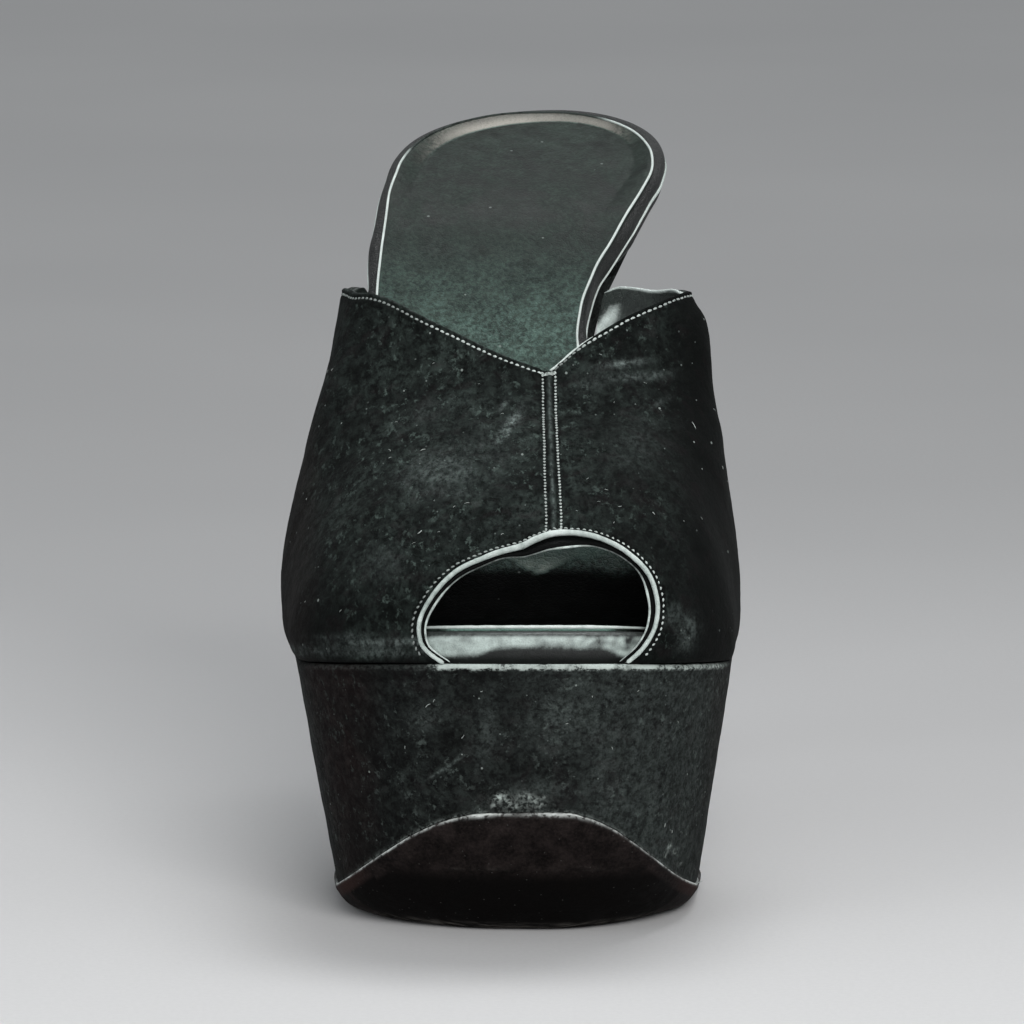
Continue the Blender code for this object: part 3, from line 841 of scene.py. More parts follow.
def suede_material(name, dark, light, bright=1.0, run=(1.0, 1.0, 1.0), mottled=0.6):
    """Black suede: a mottled nap, paler where it is rubbed and where a highlight is painted, with a mask for wear, one
    for rubbed marks and painted highlights, one for a warm tint and one for painted shade.
    """
    n = Nodes(name)
    nap = n.noise(1.7, 4.0, 0.80, stretch=run, distort=0.3)
    fine = n.noise(0.62, 2.0, 0.6, stretch=run)
    patch = n.noise(7.5, 4.0, 0.66, stretch=run, distort=0.5)
    broad = n.noise(30.0, 2.0, 0.5)
    lie = n.noise(3.4, 3.0, 0.70, stretch=run, distort=0.8)
    fac = n.math("MULTIPLY", n.span(nap, 0.40, 0.64), 0.62)
    fac = n.math("ADD", fac, n.math("MULTIPLY", n.span(fine, 0.40, 0.66), 0.14))
    fac = n.math("ADD", fac, n.math("MULTIPLY", n.span(lie, 0.44, 0.66), 0.30))
    fac = n.math("MULTIPLY", fac, n.span(patch, 0.36, 0.64, 1.0 - 0.55 * mottled, 1.0 + 0.35 * mottled))
    fac = n.math("MULTIPLY", fac, n.span(broad, 0.30, 0.66, 0.70, 1.12))
    lit = n.math("SUBTRACT", 1.0, n.mask("shade"), clamp=True)
    fac = n.math("MULTIPLY", fac, lit, clamp=True)
    colour = n.mix(fac, dark, light)
    hue = n.noise(5.0, 2.0, 0.5, distort=0.8)
    colour = n.mix(n.span(hue, 0.52, 0.72, 0.0, 0.45), colour, n.mix(fac, (0.0055, 0.0040, 0.0045), (0.024, 0.023, 0.023)))
    colour = n.mix(n.math("MULTIPLY", n.mask("warm"), n.span(patch, 0.30, 0.62, 0.5, 1.0)), colour,
                   n.mix(fac, (0.0062, 0.0034, 0.0034), (0.027, 0.0180, 0.0172)))
    tufts = n.math("MULTIPLY", n.span(n.noise(1.5, 3.0, 0.72, stretch=run, distort=0.2), 0.55, 0.68), n.span(n.noise(6.5, 3.0, 0.62, stretch=run), 0.42, 0.62, 0.10, 1.0))
    colour = n.mix(n.math("MULTIPLY", tufts, n.math("MULTIPLY", lit, 0.90)), colour, tuple(2.7 * c for c in light))
    specks = n.math("LESS_THAN", n.cells(2.3, stretch=run), 0.080)
    specks = n.math("MULTIPLY", specks, n.span(n.noise(4.0, 1.0), 0.50, 0.62))
    colour = n.mix(n.math("MULTIPLY", specks, 0.5), colour, (0.19, 0.22, 0.21))
    flecks = n.math("LESS_THAN", n.cells(6.3, stretch=run), 0.042)
    colour = n.mix(n.math("MULTIPLY", flecks, 0.6), colour, (0.30, 0.34, 0.32))
    # rubbed marks and painted highlights, carried by one mask, lighten the nap
    rubbed = n.math("MULTIPLY", n.mask("rub_and_lit"), n.span(n.noise(0.9, 4.0, 0.75, stretch=run), 0.36, 0.62, 0.12, 1.0))
    rubbed = n.math("MULTIPLY", rubbed, n.span(n.noise(2.4, 4.0, 0.72, stretch=run), 0.38, 0.62, 0.45, 1.45))
    colour = n.mix(rubbed, colour, (0.17, 0.205, 0.195))
    torn = n.math("MULTIPLY", n.mask("wear"), n.span(n.noise(0.8, 3.0, 0.7), 0.42, 0.56, 0.05, 1.0))
    torn = n.math("MAXIMUM", torn, n.math("MULTIPLY", n.span(n.mask("wear"), 0.66, 0.95), n.span(nap, 0.3, 0.6, 0.75, 1.0)))
    colour = n.mix(torn, colour, (0.46, 0.52, 0.49))
    rough = n.span(nap, 0.3, 0.7, 0.98, 0.86)
    normal = n.bump(nap, 0.65, 0.34)
    normal = n.bump(fine, 0.6, 0.14, normal)
    return n.done(colour, rough, normal, Specular_IOR_Level=0.06, Sheen_Weight=0.010 * bright,
                  Sheen_Roughness=0.40, Sheen_Tint=(0.78, 0.86, 0.83))


def leather_material(name, dark, light, pale, rough=(0.42, 0.60), grain_size=1.35, shine=0.5):
    """Smooth leather with a crinkled grain; the masks pale, warm, grain and shade vary it: pale mixes in a pale colour,
    on most pieces a painted highlight, and shade is painted shade.
    """
    n = Nodes(name)
    warped = n.warped(2.4, 1.1)
    cells = n.add("ShaderNodeTexVoronoi", feature="DISTANCE_TO_EDGE")
    n.link(warped, cells.inputs["Vector"])
    cells.inputs["Scale"].default_value = 1000.0 / grain_size
    small = n.add("ShaderNodeTexVoronoi", feature="DISTANCE_TO_EDGE")
    n.link(warped, small.inputs["Vector"])
    small.inputs["Scale"].default_value = 1000.0 / (grain_size * 0.45)
    crease = n.span(cells.outputs["Distance"], 0.0, 0.16)
    crease_small = n.span(small.outputs["Distance"], 0.0, 0.20)
    pores = n.noise(0.35, 3.0, 0.6)
    cloud = n.noise(7.0, 4.0, 0.62, distort=0.7)
    rub = n.noise(2.6, 4.0, 0.68, distort=0.4)
    grain = n.mask("grain")
    dim = n.math("MULTIPLY", n.mask("shade"), n.mask("shade"))
    fac = n.math("ADD", n.math("MULTIPLY", n.span(cloud, 0.32, 0.68), 0.50), n.math("MULTIPLY", n.span(pores, 0.3, 0.7), 0.20))
    fac = n.math("ADD", fac, n.math("MULTIPLY", n.span(rub, 0.36, 0.68), 0.30))
    fac = n.math("MULTIPLY", fac, n.span(n.noise(0.8, 3.0, 0.75), 0.36, 0.64, 0.66, 1.30))
    fac = n.math("MULTIPLY", fac, n.math("SUBTRACT", 1.0, n.mask("shade")), clamp=True)
    colour = n.mix(fac, dark, light)
    lines = n.math("MULTIPLY", n.math("SUBTRACT", 1.0, crease), grain)
    colour = n.mix(n.math("MULTIPLY", lines, 0.30), colour, tuple(0.5 * c for c in dark))
    colour = n.mix(dim, colour, (0.0023, 0.0026, 0.0025))
    pale = n.mix(n.mask("warm"), pale, (0.51, 0.485, 0.435))
    even = n.span(n.mask("pale"), 0.16, 0.34)
    broken = n.span(n.noise(1.15, 4.0, 0.74, distort=0.3), 0.36, 0.68, 0.30, 1.75)
    spread = n.math("ADD", even, n.math("MULTIPLY", n.math("SUBTRACT", 1.0, even), broken))
    spread = n.math("MULTIPLY", spread, n.span(pores, 0.25, 0.6, 0.72, 1.0))
    # the pale colour, laid on mostly as painted highlights
    colour = n.mix(n.math("MULTIPLY", n.mask("pale"), spread, clamp=True), colour, pale)
    specks = n.math("LESS_THAN", n.cells(6.5), 0.045)
    colour = n.mix(n.math("MULTIPLY", specks, 0.45), colour, (0.30, 0.34, 0.32))
    roughness = n.span(cloud, 0.3, 0.7, rough[0], rough[1])
    height = n.math("ADD", n.math("MULTIPLY", crease, 0.65), n.math("MULTIPLY", crease_small, 0.35))
    height = n.math("MULTIPLY", height, grain)
    normal = n.bump(height, 0.9, 0.16)
    normal = n.bump(pores, 0.5, 0.035, normal)
    shine = n.math("MULTIPLY", shine, n.math("SUBTRACT", 1.0, dim), clamp=True)
    return n.done(colour, roughness, normal, Specular_IOR_Level=shine)


def sole_material():
    """Black-brown sole: rubbed pale along its edge (wear), darker underneath (shade), dusty where it meets the floor (dust)."""
    n = Nodes("sole_leather")
    grit = n.noise(0.7, 4.0, 0.7)
    cloud = n.noise(6.0, 4.0, 0.6, distort=0.5)
    drag = n.noise(2.0, 3.0, 0.6, stretch=(0.35, 2.4, 2.4))
    fac = n.math("ADD", n.math("MULTIPLY", n.span(grit, 0.35, 0.7), 0.45), n.math("MULTIPLY", n.span(cloud, 0.35, 0.7), 0.55))
    fac = n.math("MULTIPLY", fac, n.math("SUBTRACT", 1.0, n.mask("shade")), clamp=True)
    colour = n.mix(fac, (0.0024, 0.0018, 0.0017), (0.024, 0.0185, 0.0175))
    colour = n.mix(n.math("MULTIPLY", n.mask("shade"), n.mask("shade")), colour, (0.0012, 0.0011, 0.0010))
    colour = n.mix(n.math("MULTIPLY", n.mask("dust"), n.span(drag, 0.40, 0.66)), colour, (0.13, 0.12, 0.11))
    colour = n.mix(n.math("MULTIPLY", n.mask("warm"), 0.8), colour, (0.075, 0.030, 0.024))
    specks = n.math("LESS_THAN", n.cells(1.7), 0.09)
    colour = n.mix(n.math("MULTIPLY", specks, 0.35), colour, (0.10, 0.10, 0.095))
    torn = n.math("MULTIPLY", n.mask("wear"), n.span(n.noise(0.9, 3.0, 0.7), 0.40, 0.52, 0.15, 1.0))
    torn = n.math("MAXIMUM", torn, n.math("MULTIPLY", n.span(n.mask("wear"), 0.55, 0.85), n.span(grit, 0.3, 0.6, 0.7, 1.0)))
    colour = n.mix(torn, colour, (0.60, 0.63, 0.61))
    normal = n.bump(grit, 0.5, 0.12)
    normal = n.bump(drag, 0.4, 0.10, normal)
    return n.done(colour, n.span(cloud, 0.3, 0.7, 0.66, 0.84), normal, Specular_IOR_Level=0.05)


def thread_material():
    """Pale waxed thread, its brightness given for each stitch by the mask pale."""
    n = Nodes("thread")
    ply = n.noise(0.22, 2.0, 0.6)
    colour = n.mix(n.span(ply, 0.35, 0.65), (0.40, 0.45, 0.43), (0.66, 0.72, 0.69))
    colour = n.mix(n.math("SUBTRACT", 1.0, n.mask("pale")), colour, (0.035, 0.040, 0.038))
    return n.done(colour, 0.62, n.bump(ply, 0.6, 0.05), Specular_IOR_Level=0.3)


def rubber_material():
    n = Nodes("lift_rubber")
    grit = n.noise(0.9, 4.0, 0.7)
    colour = n.mix(n.span(grit, 0.35, 0.7), (0.010, 0.010, 0.010), (0.030, 0.030, 0.029))
    colour = n.mix(n.math("MULTIPLY", n.mask("dust"), n.span(n.noise(2.0, 3.0), 0.42, 0.62)), colour, (0.10, 0.098, 0.092))
    return n.done(colour, n.span(grit, 0.3, 0.7, 0.60, 0.78), n.bump(grit, 0.4, 0.08), Specular_IOR_Level=0.3)


SUEDE = suede_material("upper_suede", (0.0022, 0.0028, 0.0026), (0.024, 0.0325, 0.0290), run=(1.0, 0.50, 0.80), mottled=1.0)
PLATFORM_SUEDE = suede_material("platform_suede", (0.0032, 0.0034, 0.0034), (0.023, 0.028, 0.026))
HEEL_SUEDE = suede_material("heel_cover", (0.0032, 0.0034, 0.0034), (0.021, 0.025, 0.0235))
FOOTBED = leather_material("footbed_leather", (0.0032, 0.0054, 0.0044), (0.042, 0.059, 0.050), (0.33, 0.55, 0.47), shine=0.14)
BASE = leather_material("footbed_edge_leather", (0.0040, 0.0044, 0.0044), (0.018, 0.021, 0.020), (0.48, 0.56, 0.53),
                        rough=(0.38, 0.55), grain_size=1.0, shine=0.4)
LINING = leather_material("lining_leather", (0.006, 0.009, 0.008), (0.046, 0.062, 0.054), (0.62, 0.70, 0.67),
                          rough=(0.36, 0.55), grain_size=1.6)
# pale leather for the edge cords: partly their own pale edge, partly a painted highlight of their rounded edges
BINDING = leather_material("binding_leather", (0.22, 0.27, 0.25), (0.48, 0.55, 0.52), (0.70, 0.77, 0.74),
                           rough=(0.42, 0.58), grain_size=1.2, shine=0.35)
SOLE = sole_material()
THREAD = thread_material()
RUBBER = rubber_material()


# ---- the vamp ----------------------------------------------------------------------------
def from_seam(points):
    """How far a place lies across from the vamp's seam."""
    return points[..., 0] - read(SECTION, "ridge_x", points[..., 1]) - read(SEAM, "off", points[..., 1])


def row_inset(x):
    """How far the top line's stitches lie in from its edge: close to it on the inner side of the throat."""
    return np.where(x < 4.6, 1.45, 0.70 + 0.45 * ease(x, 9, 18))


def arch_outside(d, turn, past_edge):
    """Whether a point of the vamp lies outside the peep opening, made smaller by past_edge times the lining's reach."""
    x, _, z = np.moveaxis(vamp(d, turn), -1, 0)
    x, z = x - ARCH_CENTRE[0], z - ARCH_CENTRE[1]
    angle = np.degrees(np.arctan2(z, x))
    angle = np.where(angle < -90, angle + 360, angle)
    return np.hypot(x, z) > read(ARCH, "radius", angle) - past_edge * read(REACH, "reach", angle)


class Vamp:
    """The vamp's surface as a grid: columns run from the peep opening back to the top line, closely spaced by the seam and the bottom edges."""

    def __init__(self, ridge_zone, edge_zone, middle, front_zone, back_zone, rows, past_edge=0.0, back_inset=0.0):
        stations = np.linspace(0.31, 141.6, 420)
        lengths = section_lengths(stations)
        low, high = -lengths[:, 0], lengths[:, -1]
        share = (np.arange(middle) + 1) / (middle + 1)
        turns, from_ridge, from_edge = [], [], []
        for side, reach in ((-1, low), (1, high)):
            zone = ridge_zone[-1], edge_zone[-1]
            away = [np.broadcast_to(a, reach.shape) for a in ridge_zone]
            away += [zone[0] + s * (reach - zone[0] - zone[1]) for s in share]
            away += [reach - a for a in edge_zone[::-1]]
            away = np.array(away)
            at = np.array([np.interp(side * away[:, k], lengths[k], FINE_TURN) for k in range(len(stations))]).T
            turns.append(at)
            from_ridge.append(away)
            from_edge.append(reach[None, :] - away)
        # outer side from the bottom edge up, the ridge itself, then the inner side down
        middle_turn = np.full((1, len(stations)), math.pi / 2)
        self.turn_table = np.concatenate([turns[0][::-1], middle_turn, turns[1]])
        self.stations = stations
        self.edge_table = np.concatenate([from_edge[0][::-1], np.minimum(low, high)[None], from_edge[1]])
        columns = len(self.turn_table)
        front_low, front_high = np.full(columns, 0.35), np.full(columns, 60.0)
        back_low, back_high = np.full(columns, 30.0), np.full(columns, 141.5)
        for _ in range(36):
            d = (front_low + front_high) / 2
            out = arch_outside(d, self.turn(d), past_edge)
            front_low, front_high = np.where(out, front_low, d), np.where(out, d, front_high)
            d = (back_low + back_high) / 2
            past = d > np.interp(self.turn(d), BACK_TURN, BACK_D)
            back_low, back_high = np.where(past, back_low, d), np.where(past, d, back_high)
        front, back = (front_low + front_high) / 2, (back_low + back_high) / 2
        t = np.linspace(0, 1, 260)[:, None]
        d = front + (back - front) * t
        path = vamp(d, self.turn(d))
        walk = np.linalg.norm(np.diff(path, axis=0), axis=2)
        walk = np.concatenate([np.zeros((1, columns)), np.cumsum(walk, axis=0)])
        ends = []
        for row, other in ((0, 1), (-1, -2)):
            border = unit(np.gradient(path[row], axis=0))
            column = unit(path[other] - path[row])
            ends.append(np.clip(np.linalg.norm(np.cross(border, column), axis=-1), 0.35, 1))
        smooth = np.ones(9) / 9
        ends = [np.convolve(np.pad(e, 4, mode="edge"), smooth, "valid") for e in ends]
        total = walk[-1]
        first = np.array(front_zone)[:, None] / ends[0]
        last = total - (np.array(back_zone)[::-1, None] + back_inset) / ends[1]
        share = (np.arange(rows - len(front_zone) - len(back_zone)) + 1)[:, None] / (
            rows - len(front_zone) - len(back_zone) + 1
        )
        places = np.concatenate([first, first[-1] + (last[0] - first[-1]) * share, last])
        self.d = np.stack([np.interp(places[:, j], walk[:, j], d[:, j]) for j in range(columns)], 1)
        self.t = self.turn(self.d)
        self.points = vamp(self.d, self.t)
        self.to_front = places * ends[0]
        self.to_back = (total - places) * ends[1]
        self.to_edge = np.stack([np.interp(self.d[:, j], stations, self.edge_table[j]) for j in range(columns)], 1)
        self.normal = grid_normals(self.points, self.points - np.array([0, 70, 60.0]))
        self.rows, self.columns = self.d.shape

    def turn(self, d):
        return np.stack([np.interp(d[..., j], self.stations, self.turn_table[j]) for j in range(len(self.turn_table))], -1)

    def row_at(self, field, value, values):
        """Along each column, what values holds where field reaches value."""
        found = []
        for j in range(self.columns):
            order = np.argsort(field[:, j])
            found.append([np.interp(value, field[order, j], values[order, j, k]) for k in range(values.shape[2])])
        return np.array(found)


def vamp_relief(points, to_front, to_back, to_edge):
    """Height of the leather over the plain surface: seam, stitch lines, creases and the lie of the suede."""
    x, d, z = np.moveaxis(points, -1, 0)
    off = from_seam(points)
    half = read(SEAM, "half", d)
    high = 0.30 * bell(off, 0, 0.42) - 0.16 * bell(np.abs(off), 0.80, 0.24)
    high += -0.20 * bell(np.abs(off), half, 0.30) + 0.10 * bell(np.abs(off), half + 0.8, 0.55)
    row = row_inset(x)
    high += -0.17 * bell(to_back, row, 0.30) + 0.12 * bell(to_back, row * 0.45, 0.32) + 0.06 * bell(to_back, row + 0.95, 0.6)
    high += -0.20 * bell(to_front, 1.25, 0.30) + 0.12 * bell(to_front, 2.2, 0.6)
    for path, width, depth in CREASES:
        high += depth * near_line(points, path, width)
    hold = ease(to_back, 0.6, 6.5) * ease(to_front, 0.6, 6.0) * ease(to_edge, 0.6, 6.0)
    for path, width, depth in SWELLS:
        high += hold * depth * near_line(points, path, width)
    calm = 1 - 0.6 * np.maximum(bell(to_back, 1.2, 1.2), bell(to_front, 1.2, 1.2))
    high += calm * (0.055 * layers(points, 1.5, 11, 2) + 0.10 * noise(points, 6.5, 21) + 0.22 * noise(points, 24.0, 31))
    return high


# where the worn leather stands fuller over the foot's sides: path (x, d, z), half width, height
SWELLS = (
    (((35.0, 113, 110.5), (37.0, 104, 109), (39.0, 94, 106)), 6.5, 1.5),
    (((40.5, 88, 94), (41.0, 76, 90)), 8.0, 1.0),
    (((-42.3, 93, 99.5), (-43.2, 86, 95)), 8.0, 1.0),
)
# main creases: path (x, d, z), half width, height
CREASES = (
    # flexing folds over the toes, outer side then inner
    (((-38, 30, 76), (-29, 33, 84), (-17, 36, 87), (-6, 38, 88)), 3.2, -0.34),
    (((-36, 39, 81), (-26, 43, 88), (-12, 46, 91)), 3.6, 0.26),
    (((17, 36, 87), (26, 33, 83), (34, 30, 75)), 3.0, -0.30),
    (((20, 46, 90), (30, 44, 86), (37, 42, 78)), 3.4, 0.22),
    # pull lines from the peep opening's shoulders
    (((-19, 12, 76), (-26, 22, 78), (-32, 33, 78)), 1.9, -0.22),
    (((-21, 9, 69), (-29, 15, 70), (-36, 24, 69)), 1.7, -0.20),
    (((25, 13, 77), (31, 23, 77), (36, 33, 75)), 1.8, -0.20),
    (((27, 9, 68), (33, 14, 67), (38, 24, 66)), 1.7, -0.18),
    # hollows on the walls, and the leather gathered in over the platform
    (((-46, 62, 66), (-45, 76, 74), (-43, 90, 86)), 4.6, -0.30),
    (((41, 60, 66), (41, 74, 74), (41, 88, 86)), 4.4, -0.28),
    (((-36, 16, 60.5), (-44, 30, 58.5), (-47, 50, 56.5)), 1.2, -0.24),
    (((33, 14, 60.5), (39, 28, 58.5), (42, 46, 56.5)), 1.2, -0.22),
    # a faint long mark beside the seam
    (((-2.5, 33, 85.5), (-2.0, 47, 91.5), (-1.5, 57, 95)), 1.0, 0.10),
    # the throat's corner drawn down by the seam
    (((1.0, 80, 103.5), (4.6, 84, 105.2), (8.5, 81, 103.5)), 1.6, -0.16),
)

# rubbed marks: x, d, z, half length, half width, turn of the long axis in the front view (degrees), strength
SMUDGES = (
    (-3.4, 62.4, 96.5, 3.8, 1.05, 52, 1.0),
    (-4.8, 71.5, 99.3, 1.6, 0.7, 60, 0.28),
    (19.8, 87.6, 105.7, 4.2, 0.8, 6, 0.60),
    (23.4, 84.5, 103.5, 5.0, 0.9, 4, 0.40),
    (-7.5, 50.0, 93.0, 6.0, 8.0, 0, 0.12),
    (16.0, 82.0, 103.6, 5.0, 1.6, 10, 0.22),
    (27.8, 79.1, 98.9, 2.0, 0.6, 30, 0.25),
    (31.7, 13.0, 62.4, 3.2, 2.0, 80, 0.34),
    (29.0, 12.0, 66.0, 2.2, 1.5, 70, 0.22),
    (-17.1, 44.5, 89.9, 7.5, 4.2, 15, 0.33),
    (-22.0, 50.0, 91.0, 4.0, 1.4, 30, 0.22),
    (-14.0, 38.0, 87.0, 3.2, 1.2, 170, 0.20),
    (-12.0, 50.5, 93.0, 6.0, 2.2, 30, 0.20),
    (-28.6, 18.7, 75.3, 4.0, 3.0, 0, 0.14),
    (22.0, 58.0, 93.0, 8.0, 5.0, 60, 0.10),
    (-21.5, 76.0, 97.0, 6.0, 2.2, 20, 0.14),
    (-27.0, 10.5, 60.8, 11.0, 0.9, 2, 0.40),
    (-36.0, 20.0, 60.4, 6.0, 0.8, 4, 0.22),
)


def smudges(points, marks):
    total = np.zeros(points.shape[:-1])
    for x, d, z, long, wide, turn, strength in marks:
        a = math.radians(turn)
        dx, dz = points[..., 0] - x, (points[..., 2] - z) + 0.15 * (points[..., 1] - d)
        u, v = dx * math.cos(a) + dz * math.sin(a), -dx * math.sin(a) + dz * math.cos(a)
        near = np.exp(-(((points[..., 1] - d) / 22.0) ** 4))
        total = np.maximum(total, strength * near * np.exp(-((u / long) ** 2) - (v / wide) ** 2))
    return np.clip(total, 0, 1)


def make_vamp():
    fine = [0.0, 0.03, 0.10, 0.20, 0.34, 0.52, 0.74, 0.98, 1.22, 1.46, 1.72, 2.0, 2.32, 2.7]
    grid = Vamp(
        ridge_zone=np.arange(1, 23) * 0.17,
        edge_zone=[0.0, 0.05, 0.14, 0.28, 0.46, 0.70, 1.0, 1.4, 1.9, 2.5],
        middle=142,
        front_zone=fine,
        back_zone=fine,
        rows=199,
    )
    high = vamp_relief(grid.points, grid.to_front, grid.to_back, grid.to_edge)
    drop = edge_drop(grid.to_front, 0.55) + edge_drop(grid.to_back, 0.55) + edge_drop(grid.to_edge, 0.7)
    outer = grid.points + grid.normal * (high - drop)[..., None]
    inner = grid.points - grid.normal * SUEDE_T
    inner[..., 2] = np.maximum(inner[..., 2], rise(inner[..., 1]) + GAP * 0.7)
    outer[..., 2] = np.maximum(outer[..., 2], rise(outer[..., 1]) + GAP * 0.7)
    points, faces = shell(outer, inner, 3)
    x, d, z = np.moveaxis(grid.points, -1, 0)
    off = from_seam(grid.points)
    rub_and_lit = smudges(grid.points, SMUDGES)
    # painted highlight: a pale strip down the seam's raised middle
    rub_and_lit = np.maximum(rub_and_lit, (0.40 + 0.25 * noise(grid.points, 2.0, 36)) * bell(off, 0, 0.36))
    rub_and_lit = np.maximum(rub_and_lit, 0.20 * bell(grid.to_edge, 2.6, 1.2) * ease(-x, 8, 16) * (1 - ease(d, 30, 60)))
    # paler along the outer side's top edge
    rub_and_lit = np.maximum(rub_and_lit, 0.25 * bell(grid.to_back, 0.3, 0.30) * (x < 0))
    shade = 0.60 * bell(np.abs(off), 0.82, 0.24) + 0.20 * bell(np.abs(off), 1.5, 0.6)
    shade += 0.65 * bell(grid.to_edge, 0.0, 1.1)
    shade += 0.46 * ease(x, 9, 20) + 0.56 * ease(x, 24, 36) + 0.50 * ease(-x, 30, 43) + 0.40 * bell(grid.to_back, 2.2, 0.8) * (x < 4) + 0.6 * bell(grid.to_back, 0.3, 0.45) * (x < 4)
    shade += 0.40 * bell(grid.to_front, 0.6, 0.8) + 0.38 * (1 - ease(z, 62, 80)) * ease(-x, 5, 22) + 0.22 * ease(d, 74, 96) * ease(-x, 4, 20)
    shade += 0.30 * ease(d, 66, 80) * bell(off, -3, 7)
    warm = 0.55 * ease(-x, 40, 47) + 0.20 * ease(x, 38, 44)
    rest = len(points) - grid.rows * grid.columns
    masks = {
        key: np.concatenate([np.clip(value, 0, 1).ravel(), np.full(rest, 0.2)])
        for key, value in (("rub_and_lit", rub_and_lit), ("shade", shade), ("warm", warm), ("wear", np.zeros_like(x)))
    }
    masks["rub_and_lit"][-rest:] = 0
    make_piece("vamp_suede", points, faces, SUEDE, masks, replaces=("upper",), sharp=70)
    return grid


def make_lining():
    """The vamp's lining, a little longer than the suede at the peep opening, where its edge shows."""
    fine = [0.0, 0.06, 0.2, 0.42, 0.7, 1.05, 1.5, 2.1]
    grid = Vamp(
        ridge_zone=np.arange(1, 5) * 0.9,
        edge_zone=[0.0, 0.5, 1.4, 2.6],
        middle=79,
        front_zone=fine,
        back_zone=fine,
        rows=97,
        past_edge=1.0,
        back_inset=0.12,
    )
    p, n = grid.points, grid.normal
    wave = 0.16 * layers(p, 9.0, 51, 2)
    for path, width, depth in LINING_FOLDS:
        wave += depth * near_line(p, path, width)
    deep = WALL - edge_drop(grid.to_front, 0.45) - edge_drop(grid.to_back, 0.45) - wave * ease(grid.to_front, 0.5, 4) * ease(grid.to_back, 0.3, 3)
    shallow = SUEDE_T + 0.08 + edge_drop(grid.to_front, 0.45) + edge_drop(grid.to_back, 0.45)
    inside, outside = p - n * deep[..., None], p - n * shallow[..., None]
    for sheet in (inside, outside):
        sheet[..., 2] = np.maximum(sheet[..., 2], rise(sheet[..., 1]) + GAP * 0.8)
    points, faces = shell(inside, outside, 3)
    x, d, z = np.moveaxis(p, -1, 0)
    # painted highlight along the top edge on the inner side
    pale = 0.95 * (1 - ease(grid.to_back, 0.30, 0.62)) * ease(x, 5, 12)
    # a light patch low on the inner side, where the throat lets the light in, crossed by a wrinkle
    patch = near_line(inside, ((15.4, 131.0, 105.8), (16.8, 131.8, 108.2), (17.9, 132.6, 110.2)), 2.2)
    patch = ease(patch, 0.20, 0.80)
    patch = patch * (0.75 + 0.5 * noise(p, 1.6, 53)) + 0.30 * near_line(p, ((19.4, 133.2, 111.2), (21.2, 130.6, 109.4)), 0.8)
    pale = np.maximum(pale, np.clip(1.15 * patch, 0, 1) * ease(x, 5, 12))
    shade = 0.97 * (1 - ease(d, 100, 124) * ease(z, 84, 100)) + 0.36
    rest = len(points) - grid.rows * grid.columns
    masks = {
        "pale": np.concatenate([pale.ravel(), np.zeros(rest)]),
        "grain": np.full(len(points), 0.45),
        "shade": np.clip(np.concatenate([shade.ravel(), shade[::3, ::3].ravel()]), 0, 0.97),
    }
    # the sheet's outer face has every third place of the grid, edges among them
    masks["pale"][-rest:] = pale[::3, ::3].ravel() * 0.9
    make_piece("vamp_lining", points, faces, LINING, masks, sharp=70)

    # the lining's thin turned lip, seen inside the peep opening
    path = p[0] - n[0] * (WALL - 0.30)
    keep = path[:, 2] > rise(path[:, 1]) + 0.15
    at, (path, normal) = resample(path[keep], 0.30, n[0][keep])
    x, z = path[:, 0], path[:, 2]
    low = ease(76 - z, 0, 6)
    size = 0.15 + 0.11 * bell(x, 8.0, 3.6) * (z > 74) + 0.16 * bell(x, -19, 5) * low + 0.16 * bell(x, 26, 5) * low
    size = size * (1 + 0.14 * noise(path, 1.6, 54) + 0.12 * noise(path, 4.0, 55))
    points, faces = tube(path, normal, size, size, 10, taper=1.2)
    # its pale tone, brightest low on both sides and at the top, is a painted highlight
    tone = 0.20 + 0.75 * bell(x, -19, 7) * low + 0.85 * bell(x, 8.0, 3.4) * (z > 74) + 0.80 * bell(x, 26, 7) * low
    tone = np.clip(tone * (0.85 + 0.5 * noise(path, 1.3, 56)), 0, 1)
    masks = {
        "pale": np.concatenate([np.repeat(tone, 10), [0.3, 0.3]]),
        "grain": np.full(len(points), 0.4),
        "shade": np.full(len(points), 0.55),
    }
    make_piece("peep_lip", points, faces, LINING, masks, sharp=0)

    # its turned edge along the top line's inner side, which catches the light
    bodies, tones = [], []
    for part in (p[-1, :, 0] > 6, (p[-1, :, 0] < -26) & (p[-1, :, 0] > -31.5)):
        at, (path, normal) = resample(inside[-1][part], 0.35, n[-1][part])
        size = (0.24 + 0.12 * bell(path[:, 0], 29, 6)) * (1 + 0.10 * noise(path, 2.0, 57))
        bodies.append(tube(path, normal, size, size, 10, taper=1.5))
        tone = 0.62 + 0.38 * ease(path[:, 0], 17, 20) + 0.1 * ease(-path[:, 0], 27, 30)
        tone = np.clip(tone * (0.92 + 0.3 * noise(path, 2.2, 58)), 0, 1)
        tones.append(np.concatenate([np.repeat(tone, 10), [0.6, 0.6]]))
    points, faces = join(bodies)
    masks = {
        "pale": np.concatenate(tones),
        "grain": np.full(len(points), 0.4),
        "shade": np.full(len(points), 0.2),
    }
    make_piece("collar_lip", points, faces, BINDING, masks, sharp=0)


LINING_FOLDS = (
    (((30, 112, 106), (27, 117, 109), (25, 122, 113)), 1.6, 0.55),
    (((33, 118, 112), (28, 124, 116)), 1.3, -0.45),
    (((20, 100, 96), (26, 106, 100)), 2.4, 0.35),
    (((-30, 108, 104), (-33, 118, 112)), 2.2, 0.35),
)


